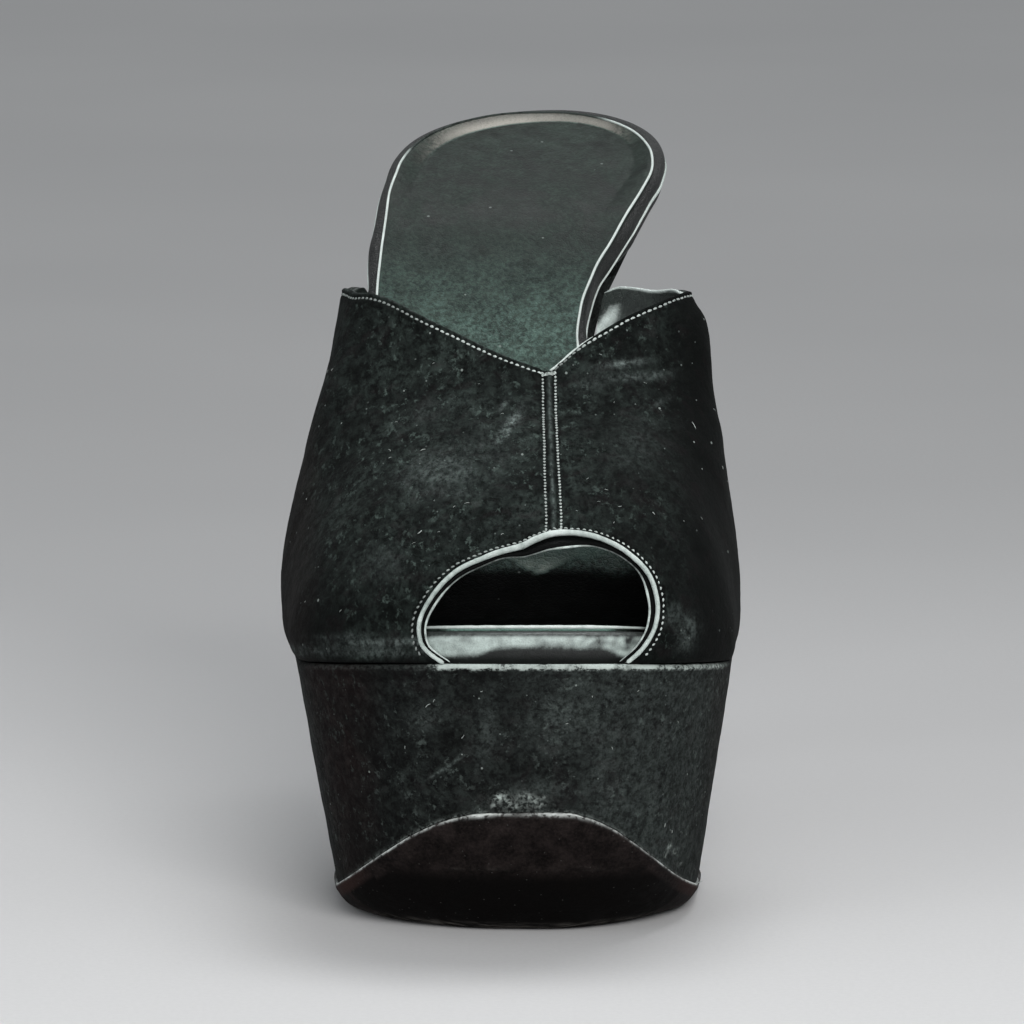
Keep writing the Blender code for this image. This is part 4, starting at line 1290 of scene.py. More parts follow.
# ---- the binding and the stitching -------------------------------------------------------
def make_binding(grid):
    """The rolled edge round the peep opening; its pale tone, brighter near the middle and darker on the outer side, is
    partly a painted highlight.
    """
    path = grid.points[0] - grid.normal[0] * 0.42
    into = unit(grid.points[0] - grid.points[3])
    path = path + into * (0.10 - 0.26 * bell(path[:, 0], 2.5, 9.5) * ease(path[:, 2], 68, 76))[:, None]
    keep = path[:, 2] > rise(path[:, 1]) + 0.2
    at, (path, normal) = resample(path[keep], 0.30, grid.normal[0][keep])
    for _ in range(3):
        path[1:-1] = (path[:-2] + 2 * path[1:-1] + path[2:]) / 4
    swell = 1 + 0.05 * noise(path, 3.0, 61) + 0.05 * noise(path, 0.9, 62)
    swell = swell * (1 + 0.38 * bell(path[:, 0], 2.5, 9.5) * ease(path[:, 2], 68, 76))
    points, faces = tube(path, normal, 0.52 * swell, 0.42 * swell, 16, taper=0.9)
    tone = 0.42 + 0.34 * noise(path, 5.0, 63) + 0.34 * noise(path, 1.2, 64) + 0.25 * bell(path[:, 0], 6, 6) - 0.2 * bell(path[:, 0], -21, 5)
    tone = np.repeat(tone, 16)
    masks = {
        "pale": np.clip(np.concatenate([tone, [0.4, 0.4]]), 0, 1),
        "grain": np.full(len(points), 0.5),
        "shade": np.zeros(len(points)),
    }
    make_piece("peep_binding", points, faces, BINDING, masks, sharp=0)


def stitch_bodies(path, normal, pitch, long, wide, high, seed, pale=None, start=0.3, sink=0.10, slant=0.0):
    """Separate short stitches along a path on the leather."""
    rng = np.random.default_rng(seed)
    at, (places, normals, along) = resample(path, pitch, normal, np.gradient(path, axis=0), start=start)
    along, normals = unit(along), unit(normals)
    bodies, tones = [], []
    share = np.array([-1.0, -0.94, -0.72, -0.36, 0.0, 0.36, 0.72, 0.94, 1.0])
    size = np.sqrt(np.clip(1 - share**2, 0.002, 1)) ** 0.8
    sides = 8
    angle = np.arange(sides) / sides * 2 * math.pi
    for k, (p, n, a) in enumerate(zip(places, normals, along)):
        b = np.cross(a, n)
        tilt = slant + rng.normal(0, 0.10)
        a, b = a * math.cos(tilt) + b * math.sin(tilt), b * math.cos(tilt) - a * math.sin(tilt)
        length, width = long * rng.uniform(0.88, 1.10) / 2, wide * rng.uniform(0.88, 1.12) / 2
        p = p + b * rng.normal(0, 0.03) - n * sink
        bow = (1 - share**2) * 0.10
        ring = (
            p
            + a * (share * length)[:, None, None]
            + n * (bow[:, None, None] + (np.cos(angle)[None, :] * size[:, None] * high / 2)[..., None])
            + b * (np.sin(angle)[None, :] * size[:, None] * width)[..., None]
        )
        j = np.arange(sides)
        quads = [np.stack([r * sides + j, r * sides + (j + 1) % sides, (r + 1) * sides + (j + 1) % sides, (r + 1) * sides + j], 1)
                 for r in range(len(share) - 1)]
        first = len(share) * sides
        tris = [np.stack([(j + 1) % sides, j, np.full(sides, first)], 1),
                np.stack([(len(share) - 1) * sides + j, (len(share) - 1) * sides + (j + 1) % sides, np.full(sides, first + 1)], 1)]
        ends = np.stack([p - a * length * 1.01, p + a * length * 1.01])
        body = np.concatenate([ring.reshape(-1, 3), ends])
        bodies.append((body, [np.concatenate(quads), np.concatenate(tris)]))
        tone = 1.0 if pale is None else float(pale(p))
        tones.append(np.full(len(body), np.clip(tone * rng.uniform(0.82, 1.05), 0, 1)))
    return bodies, tones


def make_stitches(grid):
    bodies, tones = [], []
    surface = np.concatenate(
        [grid.points + grid.normal * vamp_relief(grid.points, grid.to_front, grid.to_back, grid.to_edge)[..., None], grid.normal],
        axis=-1,
    )
    middle = grid.columns // 2

    # top line, outer side from the bottom up to the throat, then the inner side
    line = grid.row_at(grid.to_back, 1.45, surface)

    def outer_tone(p):
        return 0.38 + 0.62 * ease(p[0], -26, -17)

    def inner_tone(p):
        return (0.30 + 0.70 * ease(p[0], 8, 14)) * (1 - 0.35 * ease(p[0], 24, 31))

    part = line[6 : middle - 3]
    made = stitch_bodies(part[:, :3], part[:, 3:], 1.34, 0.94, 0.64, 0.50, 101, outer_tone)
    bodies += made[0]
    tones += made[1]
    near, far = grid.row_at(grid.to_back, 0.70, surface), grid.row_at(grid.to_back, 1.15, surface)
    line = near + (far - near) * ease(near[:, :1], 9, 18)
    part = line[middle + 3 : -6]
    made = stitch_bodies(part[:, :3], part[:, 3:], 1.48, 1.14, 0.54, 0.48, 102, inner_tone)
    bodies += made[0]
    tones += made[1]

    # the two rows beside the seam
    def seam_tone(p):
        return 0.68 + 0.14 * (p[0] > 4.6)

    for side, seed in ((-1, 103), (1, 104)):
        cut = []
        for i in range(9, grid.rows - 8):
            off = from_seam(surface[i, :, :3])
            half = side * float(read(SEAM, "half", surface[i, middle, 1]))
            order = np.argsort(off)
            cut.append([np.interp(half, off[order], surface[i, order, k]) for k in range(6)])
        cut = np.array(cut)
        made = stitch_bodies(cut[:, :3], cut[:, 3:], 1.36, 0.84, 0.62, 0.46, seed, seam_tone)
        bodies += made[0]
        tones += made[1]

    # round the peep opening
    def peep_tone(p):
        return 0.56 + 0.40 * ease(p[0], 2, 20) + 0.26 * bell(p[0], 5, 7) - 0.22 * bell(p[0], -22, 5)

    line = grid.row_at(grid.to_front, 1.20, surface)
    part = line[8:-8]
    made = stitch_bodies(part[:, :3], part[:, 3:], 1.22, 0.90, 0.50, 0.44, 105, peep_tone, slant=0.50)
    bodies += made[0]
    tones += made[1]
    # the tack that closes the seam at the throat
    line = grid.row_at(grid.to_back, 1.05, surface)
    part = line[middle - 9 : middle + 9]
    for shift, seed in ((0.0, 106), (0.42, 107)):
        low = part + (grid.row_at(grid.to_back, 1.05 + shift, surface)[middle - 9 : middle + 9] - part)
        made = stitch_bodies(low[:, :3], low[:, 3:], 0.82, 0.95, 0.42, 0.46, seed, lambda p: 0.85)
        bodies += made[0]
        tones += made[1]
    points, faces = join(bodies)
    make_piece("vamp_stitches", points, faces, THREAD, {"pale": np.concatenate(tones)}, sharp=0)

    # the pale turned edge that shows along the inner side of the throat, a painted highlight of the edge
    edge_line = grid.row_at(grid.to_back, 0.22, grid.points)[middle - 2 :] - grid.normal[-1, middle - 2 :] * 0.10
    keep = edge_line[:, 0] < 14.5
    at, (path, normal) = resample(edge_line[keep], 0.35, grid.normal[-1, middle - 2 :][keep])
    size = 0.25 * (1 - 0.3 * ease(path[:, 0], 9, 14))
    points, faces = tube(path, normal, size, size, 10, taper=1.6)
    tone = 0.68 - 0.25 * ease(path[:, 0], 8, 14) + 0.15 * noise(path, 2.5, 65) + 0.22 * np.sin(at * 2 * math.pi / 1.22)
    tone = np.repeat(tone, 10)
    masks = {
        "pale": np.clip(np.concatenate([tone, [0.5, 0.4]]), 0, 1),
        "grain": np.full(len(points), 0.3),
        "shade": np.zeros(len(points)),
    }
    make_piece("throat_edge", points, faces, BINDING, masks, sharp=0)


# ---- platform and sole -------------------------------------------------------------------
def wall_places(length, first, last, count):
    """Distances down a wall: closely spaced at both rounded edges; shrunk where the wall is low."""
    squeeze = np.minimum(1, length / (2.6 * (first[-1] + last[-1])))
    top = np.array(first)[:, None] * squeeze
    low = length - np.array(last)[::-1, None] * squeeze
    share = (np.arange(count) + 1)[:, None] / (count + 1)
    return np.concatenate([top, top[-1] + (low[0] - top[-1]) * share, low]), squeeze


def make_platform():
    rows = toe_rows(PLATFORM_END, 150, 250)
    first = [0.0, 0.06, 0.2, 0.4, 0.62, 0.9, 1.25]
    last = [0.0, 0.06, 0.18, 0.36, 0.6]
    sides = []
    for side in (-1, 1):
        x, at = outline(rows, side, waist(rows))
        top = np.stack([x, at, rise(at)], -1)
        x, at = tread_edge(rows, side)
        low = np.minimum(under(x, at) + sole_thickness(at) + GAP * 0.15, rise(at) - 0.8)
        bottom = np.stack([x, at, low], -1)
        length = np.linalg.norm(bottom - top, axis=1)
        places, squeeze = wall_places(length, first, last, 56)
        wall = top[None] + (bottom - top)[None] * (places / length)[..., None]
        out = np.cross(np.gradient(wall, axis=1), np.gradient(wall, axis=0))
        out = unit(out)
        away = wall - np.array([0, 80.0, 30.0])
        out *= np.where((out * away).sum(-1) > 0, 1, -1)[..., None]
        out[:, 0] = (0, -1, 0)
        sides.append((wall, out, places, length, squeeze))
    grids = []
    for wall, out, places, length, squeeze in sides:
        drop = edge_drop(places, 0.85) * squeeze + edge_drop(length - places, 0.16) * squeeze
        high = 0.05 * layers(wall, 1.5, 71, 2) + 0.10 * noise(wall, 7.0, 72) + 0.16 * noise(wall, 26.0, 73)
        high = high * ease(np.minimum(places, length - places), 0, 1.5)
        high += -0.16 * near_line(wall, ((-5.5, 0.3, 30.4), (-1.5, 0.0, 29.9), (2.5, 0.0, 30.6)), 1.3)
        high += -0.12 * near_line(wall, ((28.0, 12.0, 19.5), (29.5, 13.0, 18.0)), 0.9)
        grids.append(wall + out * (high - drop)[..., None])
    for grid in grids:
        grid[:, 0, 0] = TOE_CENTRE
    points, faces, _ = lens(
        grids[0],
        grids[1],
        26,
        lambda x, d: rise(d) - 0.05,
        lambda x, d: np.minimum(under(x, d) + sole_thickness(d) + GAP * 0.15, rise(d) - 0.8),
        tip=True,
        tail=False,
    )
    x, d, z = points.T
    top_gap, low_gap = rise(d) - z, z - np.minimum(under(x, d) + sole_thickness(d) + GAP * 0.15, rise(d) - 0.8)
    front = 1 - ease(d, 22, 40)
    ragged = top_gap + 0.30 * noise(points, 1.3, 115)
    wear = np.where(top_gap < 2.4, 1 - ease(ragged, 0.60, 1.05), 0)
    where = (0.04 + 0.96 * ease(x, -20.5, -16.0) * (1 - ease(x, 22, 27)) + 0.70 * ease(x, 22, 26)) * front
    wear = wear * np.clip(where * (0.95 + 0.45 * noise(points, 4.0, 74)), 0, 1)
    ripple = noise(points, 2.0, 75)
    scuff = smudges(points, SCUFFS) * (0.7 + 0.8 * np.clip(noise(points, 0.9, 76) + 0.2, 0, 1))
    wear = np.maximum(wear, scuff * (np.abs(low_gap) < 6))
    wear = np.maximum(wear, (0.16 + ripple * 0.2) * bell(low_gap, 0, 0.35) * front)
    rub_and_lit = smudges(points, PLATFORM_MARKS)
    rub_and_lit = np.maximum(rub_and_lit, 0.12 * bell(top_gap, 3.0, 3.0) * ease(x, -10, 5) * front)
    # painted light: the front's inner side made paler, where the light falls more
    rub_and_lit = np.maximum(rub_and_lit, 0.13 * ease(x, 6, 16) * front)
    shade = 0.45 * ease(-x, 20, 34) * front + 0.35 * bell(top_gap, 1.8, 1.0) + 0.3 * bell(low_gap, 1.0, 1.2) + 0.24 * bell(x, -4, 12) * front
    warm = 0.70 * ease(-x, 27, 36) * (1 - ease(d, 22, 44)) + 0.35 * ease(x, 34, 40) * (1 - ease(d, 30, 60))
    masks = {key: np.clip(value, 0, 1) for key, value in (("wear", wear), ("rub_and_lit", rub_and_lit), ("shade", shade), ("warm", warm))}
    make_piece("platform_cover", points, faces, PLATFORM_SUEDE, masks, replaces=("platform",), sharp=60)


SCUFFS = (
    # x, d, z, half length, half width, turn, strength
    (-1.6, 0.4, 30.2, 5.4, 1.7, 0, 0.20),
    (-5.2, 0.5, 31.2, 1.3, 0.7, 25, 1.0),
    (-3.9, 0.5, 30.3, 0.8, 0.5, -30, 0.9),
    (-6.6, 0.5, 29.6, 0.6, 0.4, 60, 0.7),
    (-2.2, 0.4, 29.4, 0.7, 0.4, 10, 0.7),
    (-1.2, 0.4, 31.6, 0.7, 0.4, 70, 0.6),
    (0.4, 0.4, 31.4, 0.9, 0.5, -25, 0.9),
    (1.7, 0.4, 30.6, 0.8, 0.5, 40, 0.85),
    (3.2, 0.4, 31.3, 0.5, 0.4, 0, 0.6),
    (2.6, 0.4, 29.7, 1.0, 0.4, 5, 0.6),
    (28.6, 12.0, 18.6, 0.6, 0.4, 70, 0.95),
    (29.8, 13.0, 17.4, 0.5, 0.35, 30, 0.85),
    (27.8, 11.5, 17.2, 0.4, 0.3, 110, 0.7),
    (30.8, 13.5, 14.6, 0.4, 0.3, 20, 0.6),
)
PLATFORM_MARKS = (
    (-15.8, 1.5, 37.2, 3.2, 0.22, 34, 0.75),
    (-14.0, 1.5, 38.8, 1.4, 0.16, 50, 0.5),
    (-8.0, 0.5, 44.5, 7.0, 2.8, 78, 0.16),
    (9.0, 0.5, 47.0, 7.0, 10.0, 90, 0.20),
    (19.0, 2.5, 36.0, 9.0, 6.0, 80, 0.16),
    (26.0, 6.0, 30.0, 6.0, 4.0, 60, 0.16),
    (-20.0, 3.0, 47.0, 4.0, 3.0, 40, 0.14),
    (3.0, 0.3, 33.0, 6.0, 2.4, 0, 0.16),
)


def make_sole():
    toe = toe_rows(PLATFORM_END, 150, 190)
    rows = np.concatenate([toe, np.linspace(PLATFORM_END, OUTSOLE_END, 24)[1:]])
    # edge's section: how far out of the platform's side, and what share of the way up
    section = ((-1.6, 1.0), (-0.3, 1.0), (0.16, 0.985), (0.32, 0.94), (0.42, 0.84), (0.45, 0.74), (0.40, 0.62),
               (0.24, 0.50), (-0.02, 0.38), (-0.40, 0.26), (-0.90, 0.15), (-1.5, 0.07), (-2.2, 0.02), (-3.0, 0.0))
    grids = []
    for side in (-1, 1):
        base_x, base_d = tread_edge(rows, side)
        base_d = base_d + (rows - base_d) * ease(rows, PLATFORM_END, OUTSOLE_END - 8)
        edge_line = np.stack([base_x, base_d], -1)
        along = unit(np.gradient(edge_line, axis=0))
        out = np.stack([along[:, 1], -along[:, 0]], -1) * (1 if side > 0 else -1)
        out[0] = (0, -1)
        loops = []
        for reach, share in section:
            size = 1.0 if reach > -0.6 else np.minimum(1, np.abs(base_x - CONTACT_X) / 14 + (base_d < 30))
            flat = edge_line + out * (reach * size)[:, None] if np.ndim(size) else edge_line + out * reach
            low = under(*(edge_line - out * np.clip(-reach, 0, 9) * 1.0).T)
            thick = sole_thickness(base_d)
            ceiling = rise(flat[:, 1]) - np.where(flat[:, 1] > PLATFORM_END, 0.0, 1.1)
            top = np.minimum(under(*edge_line.T) + thick, ceiling)
            z = low * (1 - share) + top * share
            loops.append(np.concatenate([flat, z[:, None]], -1))
        loops = np.array(loops)
        loops[:, 0, 0] = TOE_CENTRE
        grids.append(loops)
    points, faces, _ = lens(
        grids[0],
        grids[1],
        100,
        lambda x, d: np.minimum(under(x, d) + sole_thickness(d), rise(d) - np.where(d > PLATFORM_END, 0.0, 1.1)),
        under,
        tip=True,
        tail=False,
    )
    x, d, z = points.T
    levels = len(section)
    places = len(rows)
    share = np.zeros(len(points))
    one = np.repeat(np.array([s for _, s in section]), places)
    share[: levels * places] = one
    share[levels * places : 2 * levels * places] = one
    # what lies on the under side
    beneath = z < under(x, d) + 0.6
    step = bell(z, 15.0, 0.5) * (1 - ease(np.abs(x - 0.5), 15, 22)) * (d < 24)
    lump = 0.05 * noise(points, 2.2, 81) + 0.08 * noise(points, 9.0, 82)
    points = points.copy()
    points[:, 2] += np.where(beneath & (z > 0.6), lump * ease(z, 0.6, 3.0) - 0.22 * step, 0)
    rim = bell(share, 0.935, 0.095) * (share > 0)
    broken = 1 - 0.85 * bell(x, -1.4, 3.6) * (d < 6)
    front = 1 - ease(d, 34, 62)
    wear = rim * broken * (0.74 + 0.60 * noise(points, 3.4, 83) + 0.35 * noise(points, 1.1, 84)) * (0.15 + 0.85 * front)
    wear = wear * (1 + 0.40 * ease(-x, 19, 26) - 0.35 * ease(x, 13, 17) * (1 - ease(x, 23, 28)))
    wear = np.maximum(wear, bell(share, 0.89, 0.15) * (share > 0) * (d < 8) *
                      np.maximum(0.95 * bell(x, -9.2, 2.2), 1.05 * bell(x, 5.8, 5.4)) * (0.85 + 0.45 * noise(points, 1.6, 85)))
    warm = ease(np.abs(x + 1), 29, 36) * (d < 40) * (share > 0.2) * 0.30
    shade = np.where(beneath, 0.15 + 0.66 * (1 - ease(z, 11.5, 15.5)) * (d < 30), 0.0)
    dust = np.where(beneath, ease(2.5 - z, 0, 2.0) * 0.9 * (d < 100), 0.0) + 0.12 * step * (0.5 + noise(points, 3.0, 77))
    masks = {key: np.clip(value, 0, 1) for key, value in (("wear", wear), ("warm", warm), ("shade", shade), ("dust", dust))}
    make_piece("sole", points, faces, SOLE, masks, replaces=("outsole",), sharp=60)


# ---- footbed -----------------------------------------------------------------------------
def full_rows(count_toe, count_middle, count_heel):
    """Places along one side from the tip of the toe to the back of the heel."""
    phi = np.linspace(0, math.pi / 2, count_toe)
    toe = TOE_ROUND * (1 - np.cos(phi) ** (2 / TOE_POWER))
    heel = LENGTH - 36.0 * (1 - np.cos(np.linspace(math.pi / 2, 0, count_heel)))
    return np.concatenate([toe, np.linspace(TOE_ROUND, LENGTH - 36.0, count_middle)[1:-1], heel])


def insole_inset(d, side):
    """How far the insole lies in from the outline, to stay clear of the vamp's walls; the outer side comes out sooner."""
    clear = (WALL + GAP + 0.45) * (1 - ease(d, 141, 153))
    return clear if side > 0 else clear * (1 - 0.34 * ease(d, 116, 131)) * (1 - ease(d, 138, 150))


SEAT_LINE = None


def from_outline(x, d):
    """Distance in from the insole's outline round the heel."""
    global SEAT_LINE
    if SEAT_LINE is None:
        rows = full_rows(20, 40, 160)
        rows = rows[rows > 130]
        SEAT_LINE = np.concatenate([np.stack(outline(rows, side), -1) for side in (-1, 1)])
    best = np.full(np.shape(x), 1e9)
    for px, pd in SEAT_LINE:
        best = np.minimum(best, (x - px) ** 2 + (d - pd) ** 2)
    return np.sqrt(best)


def seat_drop(x, d):
    """The hollow of the seat: flat in the middle, bent up sharply near the back and the sides."""
    t = np.clip((from_outline(x, d) - 2.6) / 4.2, 0, 1)
    return 2.1 * (0.35 * t * t * (3 - 2 * t) + 0.65 * t**1.5) * ease(d, 146, 174)


def make_footbed():
    rows = full_rows(90, 150, 90)
    section = (  # roll inwards, share of the height
        (2.6, 1.0), (1.9, 0.992), (1.3, 0.965), (0.8, 0.915), (0.58, 0.885), (0.42, 0.85), (0.27, 0.81), (0.16, 0.76),
        (0.08, 0.71), (0.03, 0.66), (0.01, 0.61), (0.0, 0.55), (0.0, 0.50), (0.0, 0.45), (0.0, 0.40), (0.0, 0.35),
        (0.0, 0.30), (0.0, 0.26), (0.03, 0.20), (0.08, 0.14), (0.22, 0.06), (0.5, 0.0),
    )
    grids = []
    for side in (-1, 1):
        loops = []
        for roll, share in section:
            x, at = outline(rows, side, insole_inset(rows, side) + roll)
            z = rise(at) + GAP * 0.8 + (board(at) - 0.55) * share
            loops.append(np.stack([x, at, z], -1))
        loops = np.array(loops)
        loops[:, 0, 0], loops[:, -1, 0] = TOE_CENTRE, HEEL_CENTRE
        grids.append(loops)
    cup = lambda x, d: rise(d) + GAP * 0.8 + board(d) - 0.55 - seat_drop(x, d)
    points, faces, _ = lens(grids[0], grids[1], 24, cup, lambda x, d: rise(d) + GAP * 0.8, tip=True, tail=True)
    x, d, z = points.T
    share = (z - rise(d) - GAP * 0.8) / (board(d) - 0.55)
    front = 1 - ease(d, 7.5, 13)
    # the rolled front shows its pale face in the peep opening, a painted highlight of the glossy roll, darker below and
    # to the inner side
    low_line = 0.50 - 0.24 * ease(-x, 5, 11) - 0.30 * ease(x, 14, 21) + 0.05 * noise(points, 7.0, 90)
    face = ease(share, low_line - 0.10, low_line + 0.12) * (1 - ease(share, 0.76, 0.92)) * front
    slant = np.stack([x + 1.1 * z, d, 2.4 * (z - x * 0.6)], -1)
    streak = np.clip(0.55 + 0.8 * noise(slant, 3.6, 91), 0, 1)
    pale = face * (0.91 + 0.45 * noise(points, 6.0, 92) + 0.36 * noise(points, 1.4, 87) - 0.75 * ease(x, 8, 15) * streak * ease(share, 0.3, 0.5))
    # a faint painted highlight along the top of the roll
    pale = np.maximum(pale, 0.10 * bell(share, 0.93, 0.06) * front)
    # a painted highlight on the lower edge of the shank side
    pale = np.maximum(pale, 0.25 * bell(share, 0.0, 0.10) * ease(d, 100, 120))
    masks = {
        "pale": np.clip(pale, 0, 1),
        "grain": np.clip(0.9 - 0.75 * front, 0, 1),
        "shade": np.clip(0.7 * bell(share, 0.12, 0.2) * (1 - front) + 0.55 * (1 - ease(share, 0.1, 0.5)) * front, 0, 1),
    }
    make_piece("footbed_base", points, faces, BASE, masks, replaces=("insole",), sharp=60)


def sock_top(x, d):
    return rise(d) + GAP * 0.8 + board(d) - 0.5 + SOCK_T - seat_drop(x, d)


def sock_inset(d, side):
    """How far the sock lies in from the outline; the two sides agree at both tips."""
    outer, inner = read(SOCK, "outer", d), read(SOCK, "inner", d)
    own = inner if side > 0 else outer
    off = np.abs(edge(d, side) - np.where(d < 100, TOE_CENTRE, HEEL_CENTRE))
    return (outer + inner) / 2 + (own - (outer + inner) / 2) * ease(off, 0, 16) + insole_inset(d, 1) * 0.55 * (1 - ease(d, 100, 141))


def make_sock():
    rows = full_rows(110, 260, 120)
    section = ((0.75, 1.0), (0.45, 0.97), (0.22, 0.86), (0.07, 0.66), (0.0, 0.42), (0.0, 0.15), (0.06, 0.0))
    grids, edges = [], []
    for side in (-1, 1):
        loops = []
        for roll, share in section:
            x, at = outline(rows, side, sock_inset(rows, side) + roll)
            loops.append(np.stack([x, at, sock_top(x, at) - SOCK_T * (1 - share)], -1))
        loops = np.array(loops)
        loops[:, 0, 0], loops[:, -1, 0] = TOE_CENTRE, HEEL_CENTRE
        grids.append(loops)
        edges.append(loops[2])
    wrinkle = lambda x, d: 0.09 * layers(np.stack([x, d, 0 * x], -1), 5.0, 95, 2) * (1 - ease(d, 120, 150)) + 0.05 * noise(
        np.stack([x, d, 0 * x], -1), 14.0, 96)
    points, faces, _ = lens(
        grids[0],
        grids[1],
        84,
        lambda x, d: sock_top(x, d) + wrinkle(x, d),
        lambda x, d: sock_top(x, d) - SOCK_T,
        tip=True,
        tail=True,
    )
    x, d, z = points.T
    inside = from_outline(x, d)
    # the light that the seat's bend catches: strongest at the back of the outer side, with a crisp inner border
    around = np.degrees(np.arctan2(x - HEEL_CENTRE, d - 178))
    strong = 0.74 * bell(around, -48, 30) + 0.52 * bell(around, -8, 26) + 0.40 * bell(around, 30, 24)
    bend = (0.35 + 0.65 * ease(inside, 4.0, 6.0)) * ease(inside, 2.9, 4.3) * (1 - ease(inside, 6.2, 6.8))
    pale = bend * np.clip(strong, 0, 0.8) * (d > 170) * (0.9 + 0.25 * noise(points, 6.0, 93))
    warm = np.clip(1.2 * ease(inside, 2.9, 4.3) * (1 - ease(inside, 6.2, 6.8)) * ease(d, 168, 176) + 0.9 * ease(3.6 - inside, 0, 1.5) * (d > 180), 0, 1)
    pale = np.maximum(pale, 0.16 * ease(3.2 - inside, 0, 0.8) * ease(d, 184, 196))
    # painted highlight along the sock's front edge
    front_edge = (1 - ease(d, 8.2, 9.4)) * 0.5
    pale = np.maximum(pale, front_edge)
    # painted light: the sock lit through the throat, seen through the peep opening, and painted highlights just behind
    # the throat; the sock under the vamp gets painted shade
    deep = 1 - ease(d, 82, 90)
    throat = np.clip((d - 82 - 0.60 * np.abs(x - 2.7)) / 1.1, 0, 1) * (d < 92) * (0.95 + 0.5 * noise(points, 1.6, 85))
    other = np.exp(-(((x - 18.5) / 4.0) ** 2) - ((d - 86.5) / 2.6) ** 2)
    patch = np.clip(np.maximum(throat, 0.55 * other), 0, 1) * deep
    throat_highlight = (0.510 * (1 - ease(d, 92, 120)) + 0.155 * bell(d, 122, 16)) * (0.9 + 0.35 * noise(points, 4.5, 88))
    pale = np.maximum(pale, np.clip(throat_highlight, 0, 1) * (1 - deep))
    pale = np.maximum(pale, 1.0 * patch)
    warm = np.maximum(warm, 0.7 * patch)
    masks = {
        "pale": np.clip(pale, 0, 1),
        "grain": np.clip(1.0 - 0.8 * ease(d, 108, 140), 0, 1),
        "warm": warm,
        "shade": np.clip(0.30 * bell(d, 150, 24) + 0.06 * bell(d, 178, 14) + 0.96 * deep * (1 - patch) * ease(d, 9, 12), 0, 0.97),
    }
    make_piece("footbed_sock", points, faces, FOOTBED, masks, sharp=60)
    return edges


def make_beads(edges):
    """The pale cord that edges the sock, and the one under the insole's shank; their pale tone is partly a painted
    highlight, and painted shade darkens them round the back of the heel, in breaks along the outer side and towards the
    shank cord's back end.
    """
    bodies, tones = [], []
    loop = np.concatenate([edges[0], edges[1][::-1][1:]])
    at, (path,) = resample(loop, 0.5)
    path = path[:-1] if np.linalg.norm(path[-1] - path[0]) < 0.25 else path
    slope = rise(path[:, 1] + 0.5) - rise(path[:, 1] - 0.5)
    normal = unit(np.stack([0 * slope, -slope, np.ones_like(slope)], -1))
    lift = path + normal * 0.10
    behind = ease(path[:, 1], 70, 90)
    front = 1 - ease(path[:, 1], 7, 12)
    size = (0.27 + 0.10 * front) * (1 + 0.06 * noise(path, 2.0, 97) + 0.16 * front * noise(path, 1.4, 108))
    bodies.append(ring_tube(lift, normal, size, size, 10))
    around = np.degrees(np.arctan2(path[:, 0] - HEEL_CENTRE, path[:, 1] - 178))
    heel = ease(around, -106, -88) * (1 - ease(around, 22, 46)) * (path[:, 1] > 160)
    tone = 0.95 * behind * (1 - heel) + (1 - behind) * (0.45 + 0.45 * front * (1 + noise(path, 1.8, 109)))
    gaps = np.clip(noise(path, 1.3, 110) * 2.2 - 0.35, 0, 1) * (path[:, 0] < 0) * behind
    bead_shade = [np.repeat(np.clip(0.90 * heel + 0.55 * gaps, 0, 0.95), 10)]
    tone = tone * (0.94 + 0.18 * noise(path, 3.0, 98)) - 0.35 * (path[:, 0] < 0) * behind * np.clip(noise(path, 2.2, 86) + 0.1, 0, 1)
    tones.append(np.repeat(tone, 10))
    for side in (-1, 1):
        rows = np.linspace(108, 183, 240)
        x, at_d = outline(rows, side, insole_inset(rows, side) - 0.05)
        up = 0.05 + 0.40 * ease(rows, 143, 152) - 0.08 * ease(rows, 160, 170)
        line = np.stack([x, at_d, rise(at_d) + GAP * 0.8 + board(at_d) * up], -1)
        at, (path,) = resample(line, 0.45)
        slope = rise(path[:, 1] + 0.5) - rise(path[:, 1] - 0.5)
        normal = unit(np.stack([np.full_like(slope, side * 0.2), -slope, np.ones_like(slope)], -1))
        grow = 0.75 + 0.5 * ease(path[:, 1], 148, 165)
        size = 0.30 * grow * (1 + 0.10 * noise(path, 2.0, 99))
        body = tube(path, normal, size, size * 0.9, 10, taper=2.0)
        bodies.append(body)
        tone = (0.85 - 0.35 * ease(path[:, 1], 150, 172)) * (0.9 + 0.25 * noise(path, 1.2, 94))
        tones.append(np.concatenate([np.repeat(tone, 10), [0.5, 0.5]]))
        fade = 0.9 * ease(path[:, 1], 168, 181)
        bead_shade.append(np.concatenate([np.repeat(fade, 10), [0.0, 0.9]]))
    points, faces = join(bodies)
    masks = {
        "pale": np.clip(np.concatenate(tones), 0, 1),
        "grain": np.full(len(points), 0.2),
        "shade": np.concatenate(bead_shade),
    }
    make_piece("footbed_beads", points, faces, BINDING, masks, sharp=0)


# ---- heel --------------------------------------------------------------------------------
def half_form(share, depth, width, corner=1.6):
    """Half width of a heel section over its depth: straight front with small round corners, round behind."""
    form = (1 - share**2.5) ** (1 / 2.5)
    t = np.clip(share * depth / corner, 0, 1)
    return np.clip(form - corner / width * (1 - np.sqrt(1 - (1 - t) ** 2)), 0, 1)


def loop_of(x_low, x_high, d, height, front_count):
    """One closed loop from two sides that meet behind, with a straight front."""
    inner = np.stack([x_high, d, height], -1)
    outer = np.stack([x_low, d, height], -1)[::-1][1:]
    front = outer[-1] + (inner[0] - outer[-1]) * np.linspace(0, 1, front_count + 2)[1:-1, None]
    return np.concatenate([inner, outer, front])


